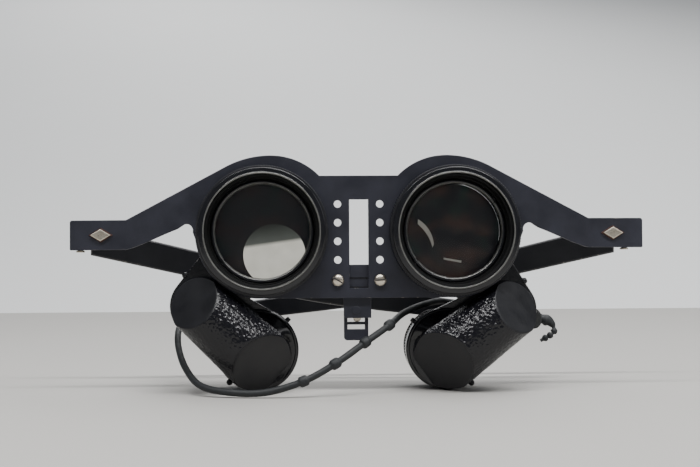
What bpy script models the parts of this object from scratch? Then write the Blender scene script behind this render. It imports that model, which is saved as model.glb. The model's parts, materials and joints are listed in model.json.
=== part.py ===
"""Head-worn prism magnifier: a sheet-metal spectacle front carrying two swivelling prism telescopes.

Run with: blender --background --python part.py

Lengths below are millimetres and become metres when a mesh is made. X runs to the right as seen
from the front, Y to the back, Z up. Heights are counted from the objective axes, depths from the
front face of the spectacle front. "Outward" is away from the middle plane on either side.
The rig empty then sets the whole object down with its origin under the middle of its box.
"""

import math

import bmesh
import bpy
from mathutils import Matrix, Vector

MM = 0.001
GAP = 0.3
ROUND = 24
OBJECTIVE_ROUND = 28
SMALL_ROUND = 12
SIDES = {"left": -1, "right": 1}

# Placing of the rig: depth of the middle of the object, and height of the objectives when it stands.
MIDDLE_DEPTH = 23.08
AXIS_HEIGHT = 51.95

# Spectacle front
LENS_SPACING = 62.0
PLATE_THICK = 1.2
PLATE_HOLE = 19.1
BRIDGE_TOP = 17.9
HUMP_APEX = (28.3, 24.5)
HUMP_INNER = 21.8
HUMP_OUTER = 30.7
PLATE_BOTTOM = -21.5
RIM_RADIUS = 21.6
LUG_ROOT = 74.5
LUG_END = 92.7
LUG_TOP = 3.9
LUG_BOTTOM = -5.7
LUG_BEND = math.radians(6.0)
SLOPE_START = 43.4
WINDOW_HALF = 3.05
WINDOW_TOP = 10.2
WINDOW_BOTTOM = -18.3
ROW_X = 6.8
ROW_TOP = 8.75
ROW_PITCH = 6.0
ROW_HOLES = 4
ROW_HOLE = 1.2
BRACKET_SCREW_Z = -15.8
SCREW_SLOT = {"left": -35, "right": -3}
STEM_SHIFT = -0.5
TAB_SHIFT = -0.9
SHEET = 1.2
SHIELD_X = 82.6
SHIELD_Z = -0.9
SHIELD_HOLE = 1.6

# Telescope: prism corner and eyepiece axis, from the objective axis (outward, up)
CORNER = Vector((19.0, -25.0))
FRONT_END = Vector((0.0, -40.5))
EYEPIECE = Vector((0.0, -38.6))
REST_SWIVEL = {"left": 2.9, "right": -2.9}
SHELF_FRONT = 8.5
SHELF_BACK = 11.5
FRONT_DEPTH = 18.0
REAR_DEPTH = 16.4
FRONT_RADII = (9.3, 10.8)
REAR_RADII = (10.9, 9.6)
COVER_WALL = 1.2
MITRE = 0.86
FLANGE_RADIUS = 13.4
SCREW_EARS = ((24.8, -15.3), (8.7, -49.5))
EAR_RADIUS = 1.8
SET_PIN_TURN = {"left": 47, "right": 142}

# Temples and their hinges
HINGE_X = 95.0
HINGE_Y = 34.5
KNUCKLE = 2.6
KNUCKLE_LOW = -2.3
KNUCKLE_HIGH = 0.5
PIN = 1.0
TEMPLE_NEAR = 0.6
TEMPLE_THICK = 1.6
TEMPLE_END = 157.0
EYELET_AT = 153.0
EYELET_RADIUS = 1.9
REST_OPEN = {"left": 0.0, "right": 6.5}

# Head strap
STRAP_RADIUS = 1.15


def clear_scene():
    for obj in list(bpy.data.objects):
        bpy.data.objects.remove(obj, do_unlink=True)


def material(name, colour, roughness, metallic=0.0, transmission=0.0):
    made = bpy.data.materials.new(name)
    made.use_nodes = True
    shader = made.node_tree.nodes["Principled BSDF"]
    shader.inputs["Base Color"].default_value = (*colour, 1.0)
    shader.inputs["Roughness"].default_value = roughness
    shader.inputs["Metallic"].default_value = metallic
    shader.inputs["Transmission Weight"].default_value = transmission
    made.diffuse_color = (*colour, 1.0)
    return made


def empty(name, parent, location, angle=0.0, axis="Y"):
    """A parent empty at a joint's axis, turned by angle about that axis."""
    made = bpy.data.objects.new(name, None)
    bpy.context.collection.objects.link(made)
    made.parent = parent
    made.location = Vector(location) * MM
    made.rotation_euler["XYZ".index(axis)] = angle
    return made


def add_object(name, bm, look, parent):
    """An object from a bmesh in millimetres, with outward faces and smooth round sides."""
    bmesh.ops.recalc_face_normals(bm, faces=bm.faces)
    bmesh.ops.scale(bm, vec=(MM, MM, MM), verts=bm.verts)
    mesh = bpy.data.meshes.new(name)
    bm.to_mesh(mesh)
    bm.free()
    mesh.shade_smooth()
    mesh.set_sharp_from_angle(angle=math.radians(32))
    if look:
        mesh.materials.append(look)
    made = bpy.data.objects.new(name, mesh)
    bpy.context.collection.objects.link(made)
    made.parent = parent
    return made


def combine(obj, bm, operation="DIFFERENCE"):
    """Adds a Boolean whose operand is a hidden object beside obj, in the same local frame."""
    tool = add_object(f"{obj.name}_{operation.lower()}", bm, None, obj.parent)
    tool.matrix_basis = obj.matrix_basis.copy()
    tool.hide_render = True
    tool.display_type = "WIRE"
    modifier = obj.modifiers.new(operation.title(), "BOOLEAN")
    modifier.operation = operation
    modifier.object = tool


# Shapes, each a closed bmesh in millimetres -------------------------------------------------


def ring_angles(count):
    return [2 * math.pi * i / count for i in range(count)]


def arc(centre, radius, start, end, steps):
    """Points of a circular arc, angles in radians."""
    turns = [start + (end - start) * i / steps for i in range(steps + 1)]
    return [(centre[0] + radius * math.cos(a), centre[1] + radius * math.sin(a)) for a in turns]


def turned(profile, centre=(0.0, 0.0), segments=ROUND, axis="Y"):
    """A turned solid. The profile is a closed loop of (radius, place along the axis)."""
    bm = bmesh.new()
    loops = []
    for radius, along in profile:
        turns = ring_angles(segments) if radius else [0.0]
        loop = []
        for a in turns:
            p, q = centre[0] + radius * math.cos(a), centre[1] + radius * math.sin(a)
            loop.append(bm.verts.new((p, along, q) if axis == "Y" else (p, q, along)))
        loops.append(loop)
    for here, there in zip(loops, loops[1:] + loops[:1]):
        if len(here) == len(there) == 1:
            continue
        for i in range(segments):
            j = (i + 1) % segments
            corners = [here[i % len(here)], here[j % len(here)]]
            corners += [there[j % len(there)], there[i % len(there)]]
            bm.faces.new(list(dict.fromkeys(corners)))
    return bm


def extruded(outline, low, high, along="Y"):
    """A solid from an outline: in X and Z when extruded along Y, in X and Y when along Z."""
    bm = bmesh.new()
    ends = []
    for level in (low, high):
        places = [(p, level, q) if along == "Y" else (p, q, level) for p, q in outline]
        ends.append([bm.verts.new(place) for place in places])
        bm.faces.new(ends[-1])
    for i in range(len(outline)):
        j = (i + 1) % len(outline)
        bm.faces.new((ends[0][i], ends[0][j], ends[1][j], ends[1][i]))
    return bm


def block(low, high):
    outline = [(low[0], low[2]), (high[0], low[2]), (high[0], high[2]), (low[0], high[2])]
    return extruded(outline, low[1], high[1])


def joined(*pieces):
    """One bmesh holding several separate closed bodies, for cutting."""
    whole = pieces[0]
    for piece in pieces[1:]:
        mesh = bpy.data.meshes.new("joined")
        piece.to_mesh(mesh)
        piece.free()
        whole.from_mesh(mesh)
        bpy.data.meshes.remove(mesh)
    return whole


def drill(x, z, radius, low=-3.0, high=12.0, segments=SMALL_ROUND):
    """A straight cutter along Y."""
    profile = [(0, low), (radius, low), (radius, high), (0, high)]
    return turned(profile, (x, z), segments)


def upright(radius, low, high, centre=(0.0, 0.0), segments=SMALL_ROUND):
    """A straight cylinder along Z."""
    return turned([(0, low), (radius, low), (radius, high), (0, high)], centre, segments, "Z")


def mirrored(points, side):
    return [(side * p, q) for p, q in points]


def hull_outline(start, start_radius, end, end_radius, steps=8):
    """The outline of two circles and their outer tangents."""
    line = end - start
    heading = math.atan2(line.y, line.x)
    spread = math.acos((start_radius - end_radius) / line.length)
    back = arc(start, start_radius, heading + spread, heading + 2 * math.pi - spread, steps)
    return back + arc(end, end_radius, heading - spread, heading + spread, steps)


def mitred_tube(start, end, radii, depth, base, towards, side, inset=0.0, floor=-2.0, steps=10):
    """A tube with a half-round crown and steeply mitred ends, standing on the prism shelf.

    base is the depth it stands at, and towards is -1 for the front and 1 for the back.
    """
    line = end - start
    along = line.normalized()
    across = Vector((-along.y, along.x))
    bm = bmesh.new()
    loops = []
    for at_end, radius in enumerate(radii):
        crown = depth - radius
        arch = arc((0, crown), radius - inset, math.pi, 0, steps)
        section = [(-radius + inset, floor), *arch, (radius - inset, floor)]
        loop = []
        for sideways, height in section:
            inward = 0.5 * radius - MITRE * (depth - height) + inset * math.hypot(1, MITRE)
            run = line.length - inward if at_end else inward
            spot = start + along * run + across * sideways
            loop.append(bm.verts.new((side * spot.x, base + towards * height, spot.y)))
        loops.append(loop)
        bm.faces.new(loop)
    for i in range(len(loops[0])):
        j = (i + 1) % len(loops[0])
        bm.faces.new((loops[0][i], loops[0][j], loops[1][j], loops[1][i]))
    return bm


def tube_footprint(start, end, radii, base, towards, side, inset, low, high):
    """The upright outline that rounds off a mitred tube's ends."""
    margin = 0.15 - inset
    outline = hull_outline(start, radii[0] + margin, end, radii[1] + margin)
    return extruded(mirrored(outline, side), base + towards * low, base + towards * high)


# Materials ----------------------------------------------------------------------------------


def make_looks():
    return {
        "plate": material("satin_black_sheet", (0.022, 0.021, 0.027), 0.48, 0.2),
        "gloss": material("gloss_black_enamel", (0.012, 0.012, 0.014), 0.16),
        "cover": material("crinkle_black_enamel", (0.018, 0.018, 0.021), 0.42),
        "nickel": material("nickel_plate", (0.62, 0.57, 0.48), 0.32, 1.0),
        "steel": material("dark_steel", (0.10, 0.10, 0.11), 0.38, 0.9),
        "glass": material("optical_glass", (0.92, 0.93, 0.92), 0.02, 0.0, 1.0),
        "bakelite": material("black_bakelite", (0.015, 0.014, 0.014), 0.3),
        "temple": material("black_temple_strip", (0.024, 0.024, 0.030), 0.4, 0.1),
        "rubber": material("grey_green_rubber", (0.045, 0.055, 0.055), 0.62),
    }


# Spectacle front ----------------------------------------------------------------------------


def plate_half_outline():
    """The right half of the front's outline, from the top of the bridge round to its bottom."""
    apex_x, apex_z = HUMP_APEX
    inner = (apex_x, apex_z - HUMP_INNER)
    outer = (apex_x, apex_z - HUMP_OUTER)
    inner_start = math.pi - math.asin((BRIDGE_TOP - inner[1]) / HUMP_INNER)
    outer_end = math.acos((SLOPE_START - apex_x) / HUMP_OUTER)
    lens = (LENS_SPACING / 2, 0.0)
    bottom_turn = math.asin(PLATE_BOTTOM / RIM_RADIUS)
    points = arc(inner, HUMP_INNER, inner_start, math.pi / 2, 12)
    points += arc(outer, HUMP_OUTER, math.pi / 2, outer_end, 7)[1:]
    points += [(LUG_ROOT, LUG_TOP), (LUG_END - 0.8, LUG_TOP - 0.1), (LUG_END, LUG_TOP - 0.9)]
    points += [(LUG_END, LUG_BOTTOM), (LUG_ROOT, LUG_BOTTOM + 0.1), (73.2, LUG_BOTTOM + 0.4)]
    points += [(66.0, -2.4), (58.0, 1.0)]
    points += arc((55.3, 0.4), 2.1, math.radians(75), math.radians(195), 6)
    points += arc(lens, RIM_RADIUS, math.radians(-6), bottom_turn, 16)
    return points


def bend_lugs(bm):
    """Folds both hinge lugs back along a line at their root."""
    for side in SIDES.values():
        geometry = bm.verts[:] + bm.edges[:] + bm.faces[:]
        bmesh.ops.bisect_plane(bm, geom=geometry, plane_co=(side * LUG_ROOT, 0, 0), plane_no=(1, 0, 0))
    for vert in bm.verts:
        vert.co.y += max(0.0, abs(vert.co.x) - LUG_ROOT) * math.tan(LUG_BEND)


def lug_depth(x):
    return (x - LUG_ROOT) * math.tan(LUG_BEND)


def make_front_plate(looks, rig):
    right = plate_half_outline()
    outline = right + mirrored(right, -1)[::-1]
    bm = extruded(outline, 0.0, PLATE_THICK)
    bend_lugs(bm)
    plate = add_object("front_plate", bm, looks["plate"], rig)
    window = block((-WINDOW_HALF, -3, WINDOW_BOTTOM), (WINDOW_HALF, 5, WINDOW_TOP))
    cuts = [window]
    for side in SIDES.values():
        cuts.append(drill(side * LENS_SPACING / 2, 0, PLATE_HOLE, segments=32))
        cuts.append(drill(side * ROW_X, BRACKET_SCREW_Z, PIN + GAP))
        cuts.append(drill(side * SHIELD_X, SHIELD_Z, SHIELD_HOLE))
        for i in range(ROW_HOLES):
            cuts.append(drill(side * ROW_X, ROW_TOP - i * ROW_PITCH, ROW_HOLE, segments=10))
    combine(plate, joined(*cuts))


def make_nose_bracket(looks, rig):
    """The T-shaped bracket behind the bridge, its slotted tab, and their fasteners."""
    near = PLATE_THICK + GAP
    bar_half, bar_top, bar_bottom = 9.6, -12.6, -19.4
    stem_half, stem_top, stem_bottom = 4.45, -10.8, -28.0
    right = [(stem_half, stem_top), (stem_half, bar_top), (bar_half, bar_top), (bar_half, bar_bottom)]
    right += [(stem_half, bar_bottom), (stem_half, stem_bottom)]
    outline = [(x + STEM_SHIFT, z) for x, z in right + mirrored(right, -1)[::-1]]
    bracket = add_object("nose_bracket", extruded(outline, near, near + SHEET), looks["plate"], rig)
    rivet_z = -25.6
    holes = [drill(side * ROW_X, BRACKET_SCREW_Z, PIN + GAP) for side in SIDES.values()]
    combine(bracket, joined(drill(TAB_SHIFT, rivet_z, PIN + GAP), *holes))

    tab_near = near + SHEET + GAP
    half, foot, corner = 3.95, -35.3, 1.1
    right = [(half, -21.8), *arc((half - corner, foot + corner), corner, 0, -math.pi / 2, 4)]
    tab_outline = [(x + TAB_SHIFT, z) for x, z in right + mirrored(right, -1)[::-1]]
    tab_back = tab_near + SHEET
    tab = add_object("nose_tab", extruded(tab_outline, tab_near, tab_back), looks["plate"], rig)
    left, right = TAB_SHIFT - 2.8, TAB_SHIFT + 2.8
    slots = [block((left, -3, low), (right, 9, high)) for low, high in ((-29.3, -28.1), (-31.7, -30.2))]
    combine(tab, joined(drill(TAB_SHIFT, rivet_z, PIN + GAP), *slots))

    rivet = [(0, near - 0.95), (0.9, near - 0.95), (1.5, near - GAP), (PIN, near - GAP)]
    rivet += [(PIN, tab_back + GAP), (1.6, tab_back + GAP), (1.6, tab_back + 1.0), (0, tab_back + 1.0)]
    add_object("tab_rivet", turned(rivet, (TAB_SHIFT, rivet_z), 14), looks["steel"], rig)

    back = near + SHEET + GAP
    for name, side in SIDES.items():
        make_slotted_screw(name, side * ROW_X, back, looks, rig)
        nut = arc((side * ROW_X, BRACKET_SCREW_Z), 2.3, 0, math.radians(300), 5)
        nut = add_object(f"bracket_nut_{name}", extruded(nut, back, back + 1.5), looks["nickel"], rig)
        combine(nut, drill(side * ROW_X, BRACKET_SCREW_Z, PIN + GAP))


def make_slotted_screw(name, x, back, looks, rig):
    """A round-headed slotted screw with its head on the front face."""
    profile = [(0, -1.55), (0.9, -1.45), (1.6, -1.15), (2.05, -0.7), (2.2, -GAP), (PIN, -GAP)]
    profile += [(PIN, back + 2.4), (0, back + 2.4)]
    screw = turned(profile, (x, BRACKET_SCREW_Z), 18)
    screw = add_object(f"bracket_screw_{name}", screw, looks["nickel"], rig)
    slot = block((-3, -3, -0.28), (3, -0.9, 0.28))
    turn = math.radians(SCREW_SLOT[name])
    bmesh.ops.rotate(slot, verts=slot.verts, cent=(0, 0, 0), matrix=Matrix.Rotation(turn, 3, "Y"))
    bmesh.ops.translate(slot, verts=slot.verts, vec=(x, 0, BRACKET_SCREW_Z))
    combine(screw, slot)


# Hinges and temples -------------------------------------------------------------------------


def make_hinge(name, side, looks, rig):
    """The sheet bracket behind a lug, with its outer knuckles, the shield rivet and the hinge pin."""
    start_x, bend_x = 77.4, 91.4
    front = [(x, PLATE_THICK + GAP + lug_depth(x)) for x in (start_x, bend_x)]
    elbow = front[1][1]
    outer = [(bend_x + 1.0, elbow + 0.9), (HINGE_X + 1.6, HINGE_Y - 2.2), (HINGE_X + 1.6, HINGE_Y)]
    inner = [(HINGE_X + 0.4, HINGE_Y), (HINGE_X + 0.4, HINGE_Y - 2.2), (bend_x - 0.4, elbow + SHEET)]
    inner.append((start_x, front[0][1] + SHEET))
    low, high = -5.2, 3.4
    leaf_outline = mirrored(front + outer + inner, side)
    leaf = add_object(f"hinge_bracket_{name}", extruded(leaf_outline, low, high, "Z"), looks["plate"], rig)
    centre = (side * HINGE_X, HINGE_Y)
    combine(leaf, upright(KNUCKLE, low, high, centre, 18), "UNION")
    notch_low = (centre[0] - 4, HINGE_Y - 3.3, KNUCKLE_LOW - GAP)
    notch_high = (centre[0] + 4, HINGE_Y + 4, KNUCKLE_HIGH + GAP)
    combine(leaf, block(notch_low, notch_high))
    combine(leaf, upright(PIN + GAP, low - 3, high + 3, centre))
    combine(leaf, drill(side * SHIELD_X, SHIELD_Z, SHIELD_HOLE))

    pin = [(0, low - 0.9), (1.5, low - 0.9), (1.5, low - GAP), (PIN, low - GAP)]
    pin += [(PIN, high + 0.5), (0, high + 0.5)]
    add_object(f"hinge_pin_{name}", turned(pin, centre, SMALL_ROUND, "Z"), looks["nickel"], rig)

    spot = (side * SHIELD_X, lug_depth(SHIELD_X), SHIELD_Z)
    place = empty(f"shield_place_{name}", rig, spot, side * LUG_BEND, "Z")
    shield = [(3.55, 0), (0, 2.1), (-3.55, 0), (0, -2.1)]
    head = extruded(shield, -0.95, -GAP)
    bmesh.ops.scale(head, vec=(0.82, 1, 0.82), verts=[v for v in head.verts if v.co.y < -0.5])
    rivet = add_object(f"shield_rivet_{name}", head, looks["nickel"], place)
    end = PLATE_THICK + SHEET + 2 * GAP
    shank = [(0, -0.6), (PIN, -0.6), (PIN, end), (1.9, end), (1.9, end + 0.7), (0, end + 0.7)]
    combine(rivet, turned(shank, segments=SMALL_ROUND), "UNION")


def temple_low(reach):
    """Height of a temple's lower edge at a distance from its hinge: a slope that flattens."""
    bend, soft = 84.0, 9.0
    steep, flat = -0.222, -0.108
    ease = soft * math.log1p(math.exp((reach - bend) / soft))
    return -6.35 + steep * reach + (flat - steep) * ease


def temple_width(reach):
    return 10.2 - 4.5 * (reach / TEMPLE_END) ** 1.25


def make_temple(name, side, looks, rig):
    """A flat temple on its own empty at the hinge, with its knuckle, rubber tip and eyelet."""
    turn = math.radians(REST_OPEN[name])
    pivot = empty(f"{name}_temple_axis", rig, (side * HINGE_X, HINGE_Y, 0), -side * turn, "Z")
    steps = 14
    reaches = [3.3 + (TEMPLE_END - 3.3) * i / steps for i in range(steps + 1)]
    lower = [(r, temple_low(r)) for r in reaches]
    upper = [(r, temple_low(r) + temple_width(r)) for r in reversed(reaches)]
    outline = mirrored(lower + upper, -side)
    near, far = TEMPLE_NEAR, TEMPLE_NEAR + TEMPLE_THICK
    temple = add_object(f"{name}_temple", extruded(outline, near, far), looks["temple"], pivot)
    low, high = KNUCKLE_LOW, KNUCKLE_HIGH
    ends = sorted((0, -side * 5.0))
    combine(temple, block((ends[0], near + 0.1, low), (ends[1], far - 0.1, high)), "UNION")
    combine(temple, upright(KNUCKLE, low, high, segments=18), "UNION")
    combine(temple, upright(PIN + GAP, low - 3, high + 3))

    middle = temple_low(EYELET_AT) + temple_width(EYELET_AT) / 2
    combine(temple, drill(-side * EYELET_AT, middle, EYELET_RADIUS))
    make_temple_tip(name, side, looks, pivot, middle)
    return pivot, middle


def make_temple_tip(name, side, looks, pivot, middle):
    """A rubber sleeve round the temple's end, hollow for the strip and pierced for the strap."""
    near, far = TEMPLE_NEAR, TEMPLE_NEAR + TEMPLE_THICK
    rise = 3.75
    start, end = EYELET_AT - 8.0, EYELET_AT + 7.6
    slope = (temple_low(end) - temple_low(start)) / (end - start)
    shape = [(start, -rise + 0.5), (start + 3, -rise), (end - 3, -rise), (end - 1, -rise + 1.1)]
    shape += [(end, -rise + 2.6)]
    shape += [(p, -q) for p, q in reversed(shape)]
    outline = [(p, middle + q + (p - EYELET_AT) * slope) for p, q in shape]
    tip = extruded(mirrored(outline, -side), near - 1.1, far + 1.1)
    tip = add_object(f"{name}_temple_tip", tip, looks["rubber"], pivot)
    strip = [(r, temple_low(r) - GAP) for r in (start - 4, EYELET_AT, TEMPLE_END + GAP)]
    strip += [(r, q + temple_width(r) + 2 * GAP) for r, q in reversed(strip)]
    combine(tip, extruded(mirrored(strip, -side), near - GAP, far + GAP))
    combine(tip, drill(-side * EYELET_AT, middle, EYELET_RADIUS))


# Telescopes ---------------------------------------------------------------------------------


def make_objective(name, looks, swivel):
    """Everything round the objective axis: turned rings, barrel and lens."""
    pieces = {
        "clamp_ring": ("gloss", [(19.0, -3.4), (21.2, -3.4), (21.2, -GAP), (19.0, -GAP)]),
        "objective_ring": (
            "gloss",
            [(17.9, -6.2), (18.4, -6.6), (19.4, -6.6), (20.3, -5.9), (20.3, -3.7), (18.6, -3.7)]
            + [(18.6, -0.6), (17.4, -0.6), (17.4, -4.6)],
        ),
        "objective_barrel": (
            "gloss",
            [(16.9, 0.0), (18.6, 0.0), (18.6, 1.5), (20.9, 1.5), (20.9, 3.0), (18.6, 3.0)]
            + [(18.6, SHELF_FRONT - GAP), (15.6, SHELF_FRONT - GAP), (15.6, 6.6), (16.9, 6.6)],
        ),
        "retaining_ring": ("gloss", [(15.2, 0.9), (16.6, 0.3), (16.6, 2.1), (15.2, 2.1)]),
        "objective_lens": (
            "glass",
            [(0, 2.7), (6, 2.85), (11, 3.3), (15.0, 4.0), (16.5, 4.2), (16.5, 6.3), (0, 6.3)],
        ),
    }
    for piece, (look, profile) in pieces.items():
        add_object(f"{name}_{piece}", turned(profile, segments=OBJECTIVE_ROUND), looks[look], swivel)


def make_prism_case(name, side, looks, swivel):
    """The shelf that holds both prisms, with a mitred cover and a prism on each face."""
    first = hull_outline(Vector((0, 0)), REAR_RADII[0] + 0.5, CORNER, REAR_RADII[1] + 0.7)
    second = hull_outline(CORNER, FRONT_RADII[0] + 0.4, EYEPIECE, FLANGE_RADIUS - 0.05)
    shelf = extruded(mirrored(first, side), SHELF_FRONT, SHELF_BACK)
    shelf = add_object(f"{name}_prism_shelf", shelf, looks["gloss"], swivel)
    arm = extruded(mirrored(second, side), SHELF_FRONT + 0.2, SHELF_BACK - 0.2)
    combine(shelf, arm, "UNION")
    rim = [(0, SHELF_FRONT + 0.1), (12.3, SHELF_FRONT + 0.1), (12.7, SHELF_FRONT - 0.9)]
    rim += [(FLANGE_RADIUS, SHELF_FRONT - 0.9), (FLANGE_RADIUS, SHELF_BACK), (0, SHELF_BACK)]
    combine(shelf, turned(rim, (side * EYEPIECE.x, EYEPIECE.y)), "UNION")
    for ear in SCREW_EARS:
        pad = [(0, SHELF_FRONT + 0.3), (EAR_RADIUS, SHELF_FRONT + 0.3)]
        pad += [(EAR_RADIUS, SHELF_BACK - 0.3), (0, SHELF_BACK - 0.3)]
        combine(shelf, turned(pad, (side * ear[0], ear[1]), SMALL_ROUND), "UNION")
    make_front_recess(shelf, side)
    light = [(0.0, 0.0, 9.0), (side * CORNER.x, CORNER.y, 7.2), (side * EYEPIECE.x, EYEPIECE.y, 7.2)]
    holes = [drill(x, z, r, SHELF_FRONT - 3, SHELF_BACK + 3, 16) for x, z, r in light]
    seat = [(0, SHELF_BACK + 3), (1.0, SHELF_BACK + 3), (1.0, SHELF_FRONT + 0.35)]
    seat += [(1.5, SHELF_FRONT + 0.35), (1.5, SHELF_FRONT - 3), (0, SHELF_FRONT - 3)]
    holes += [turned(seat, (side * x, z), SMALL_ROUND) for x, z in SCREW_EARS]
    combine(shelf, joined(*holes))

    cases = {
        "front": (CORNER, FRONT_END, FRONT_RADII, FRONT_DEPTH, SHELF_FRONT - GAP, -1),
        "rear": (Vector((0, 0)), CORNER, REAR_RADII, REAR_DEPTH, SHELF_BACK + GAP, 1),
    }
    for face, (start, end, radii, depth, base, towards) in cases.items():
        where = (start, end, radii)
        cover = mitred_tube(*where, depth, base, towards, side)
        cover = add_object(f"{name}_{face}_cover", cover, looks["cover"], swivel)
        combine(cover, tube_footprint(*where, base, towards, side, 0, 0, 40), "INTERSECT")
        hollow = mitred_tube(*where, depth, base, towards, side, COVER_WALL)
        hollow = add_object(f"{name}_{face}_hollow", hollow, None, swivel)
        hollow.hide_render = True
        hollow.display_type = "WIRE"
        combine(hollow, tube_footprint(*where, base, towards, side, COVER_WALL, -1, 40), "INTERSECT")
        cut = cover.modifiers.new("Hollow", "BOOLEAN")
        cut.object = hollow
        prism = mitred_tube(*where, depth, base, towards, side, COVER_WALL + 0.4, floor=-1.0)
        prism = add_object(f"{name}_{face}_prism", prism, looks["glass"], swivel)
        combine(prism, tube_footprint(*where, base, towards, side, COVER_WALL + 0.4, 0.2, 40), "INTERSECT")

    top = SHELF_FRONT + 0.3
    screw = [(0, top - 1.3), (0.8, top - 1.3), (1.2, top - 0.8), (1.2, top - GAP), (0.7, top - GAP)]
    screw += [(0.7, SHELF_BACK - 0.2), (0, SHELF_BACK - 0.2)]
    for place, (x, z) in zip(("upper", "lower"), SCREW_EARS):
        body = turned(screw, (side * x, z), SMALL_ROUND)
        add_object(f"{name}_cover_screw_{place}", body, looks["nickel"], swivel)


def make_front_recess(shelf, side):
    """Cuts the seat of the front cover into the flange rim."""
    low, high = SHELF_FRONT - 6, SHELF_FRONT
    outline = hull_outline(CORNER, FRONT_RADII[0] + 0.45, FRONT_END, FRONT_RADII[1] + 0.45)
    combine(shelf, extruded(mirrored(outline, side), low, high))


def make_eyepiece(name, side, looks, swivel):
    """The fixed sleeve, the focus ring that turns on it, and the ocular that slides in it."""
    centre = (side * EYEPIECE.x, EYEPIECE.y)
    first = SHELF_BACK + GAP
    sleeve = [(8.7, first), (11.4, first), (11.4, first + 1.0), (10.1, first + 1.0), (10.1, 20.2)]
    sleeve.append((8.7, 20.2))
    add_object(f"{name}_eyepiece_sleeve", turned(sleeve, centre), looks["gloss"], swivel)

    ring_low, ring_high = 13.2, 20.0
    focus = empty(f"{name}_focus_axis", swivel, (centre[0], 0, centre[1]))
    rim = [(10.4, ring_low), (12.6, ring_low), (13.2, ring_low + 0.6), (13.2, ring_high - 0.6)]
    rim += [(12.6, ring_high), (10.4, ring_high)]
    ring = add_object(f"{name}_focus_ring", turned(rim), looks["gloss"], focus)
    pin_turn = math.radians(SET_PIN_TURN[name])
    middle = (ring_low + ring_high) / 2
    combine(ring, radial_pin(1.0, 11.3, 16.0, middle, pin_turn))
    add_object(f"{name}_set_pin", radial_pin(0.7, 11.7, 14.4, middle, pin_turn), looks["steel"], focus)

    ocular = empty(f"{name}_ocular_axis", swivel, (centre[0], 0, centre[1]))
    tube = [(7.0, 14.2), (8.4, 14.2), (8.4, 21.6), (11.4, 21.6), (11.4, 24.8), (7.6, 24.8)]
    tube += [(7.6, 22.2), (7.0, 22.2)]
    add_object(f"{name}_ocular_tube", turned(tube), looks["gloss"], ocular)
    lens = [(0, 22.5), (7.3, 22.5), (7.3, 23.6), (4.5, 24.1), (0, 24.3)]
    add_object(f"{name}_eye_lens", turned(lens), looks["glass"], ocular)
    cup = [(7.6, 25.1), (12.4, 25.1), (12.9, 25.8), (12.6, 26.6), (11.8, 26.8), (9.2, 26.2), (7.6, 25.7)]
    add_object(f"{name}_eyecup", turned(cup), looks["bakelite"], ocular)


def radial_pin(radius, start, end, depth, turn):
    """A short pin pointing away from the eyepiece axis, at a turn from outward level."""
    profile = [(0, start), (radius, start), (radius, end - 0.2), (radius - 0.2, end), (0, end)]
    bm = turned(profile, segments=SMALL_ROUND, axis="Z")
    matrix = Matrix.Rotation(math.pi / 2 - turn, 3, "Y")
    bmesh.ops.rotate(bm, verts=bm.verts, cent=(0, 0, 0), matrix=matrix)
    bmesh.ops.translate(bm, verts=bm.verts, vec=(0, depth, 0))
    return bm


def make_telescope(name, side, looks, rig):
    lean = -side * math.radians(REST_SWIVEL[name])
    swivel = empty(f"{name}_swivel_axis", rig, (side * LENS_SPACING / 2, 0, 0), lean)
    make_objective(name, looks, swivel)
    make_prism_case(name, side, looks, swivel)
    make_eyepiece(name, side, looks, swivel)


# Head strap ---------------------------------------------------------------------------------

# Routes in rig millimetres: from the right temple's tip round the left housing to the middle
# bead, from there to the left temple's tip, and the tail beyond that eyelet.
STRAP_OUTER = (
    (-56.8, 48.2, -28.9),
    (-58.0, 45.0, -29.2),
    (-59.8, 37.6, -30.4),
    (-60.6, 28.0, -32.9),
    (-59.6, 17.0, -37.8),
    (-56.2, 5.0, -43.8),
    (-50.6, -5.0, -48.6),
    (-41.6, -10.8, -50.2),
    (-30.0, -13.0, -50.2),
    (-18.0, -13.2, -46.8),
    (-8.0, -11.0, -41.6),
    (1.2, -7.0, -35.6),
)
STRAP_INNER = (
    (1.8, -6.6, -35.2),
    (9.4, -1.0, -30.4),
    (14.0, 8.0, -27.4),
    (18.0, 17.0, -26.0),
    (23.4, 24.0, -24.5),
    (30.0, 29.4, -23.6),
    (37.0, 30.6, -25.6),
    (42.0, 30.3, -27.4),
    (49.0, 30.3, -28.7),
    (53.8, 30.9, -29.4),
    (56.6, 32.2, -29.7),
)
STRAP_TAIL = (
    (0.0, 4.9, 0.0),
    (2.8, 5.9, -0.1),
    (7.0, 6.2, -0.6),
    (11.6, 5.4, -2.2),
    (12.6, 4.0, -5.6),
    (7.8, 3.2, -8.6),
)


def smooth_route(points, spacing):
    """Points spaced along a Catmull-Rom curve through a hand-laid route."""
    points = [Vector(p) for p in points]
    ends = [2 * points[0] - points[1], *points, 2 * points[-1] - points[-2]]
    fine = []
    for a, b, c, d in zip(ends, ends[1:], ends[2:], ends[3:]):
        for i in range(24):
            t = i / 24
            square, cube = 2 * a - 5 * b + 4 * c - d, 3 * b - a - 3 * c + d
            fine.append(0.5 * (2 * b + (c - a) * t + square * t**2 + cube * t**3))
    fine.append(points[-1])
    lengths = [0.0]
    for p, q in zip(fine, fine[1:]):
        lengths.append(lengths[-1] + (q - p).length)
    count = max(2, round(lengths[-1] / spacing))
    route, at = [], 0
    for i in range(count + 1):
        wanted = lengths[-1] * i / count
        while at < len(fine) - 2 and lengths[at + 1] < wanted:
            at += 1
        share = (wanted - lengths[at]) / (lengths[at + 1] - lengths[at])
        route.append(fine[at].lerp(fine[at + 1], min(1.0, share)))
    return route


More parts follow.
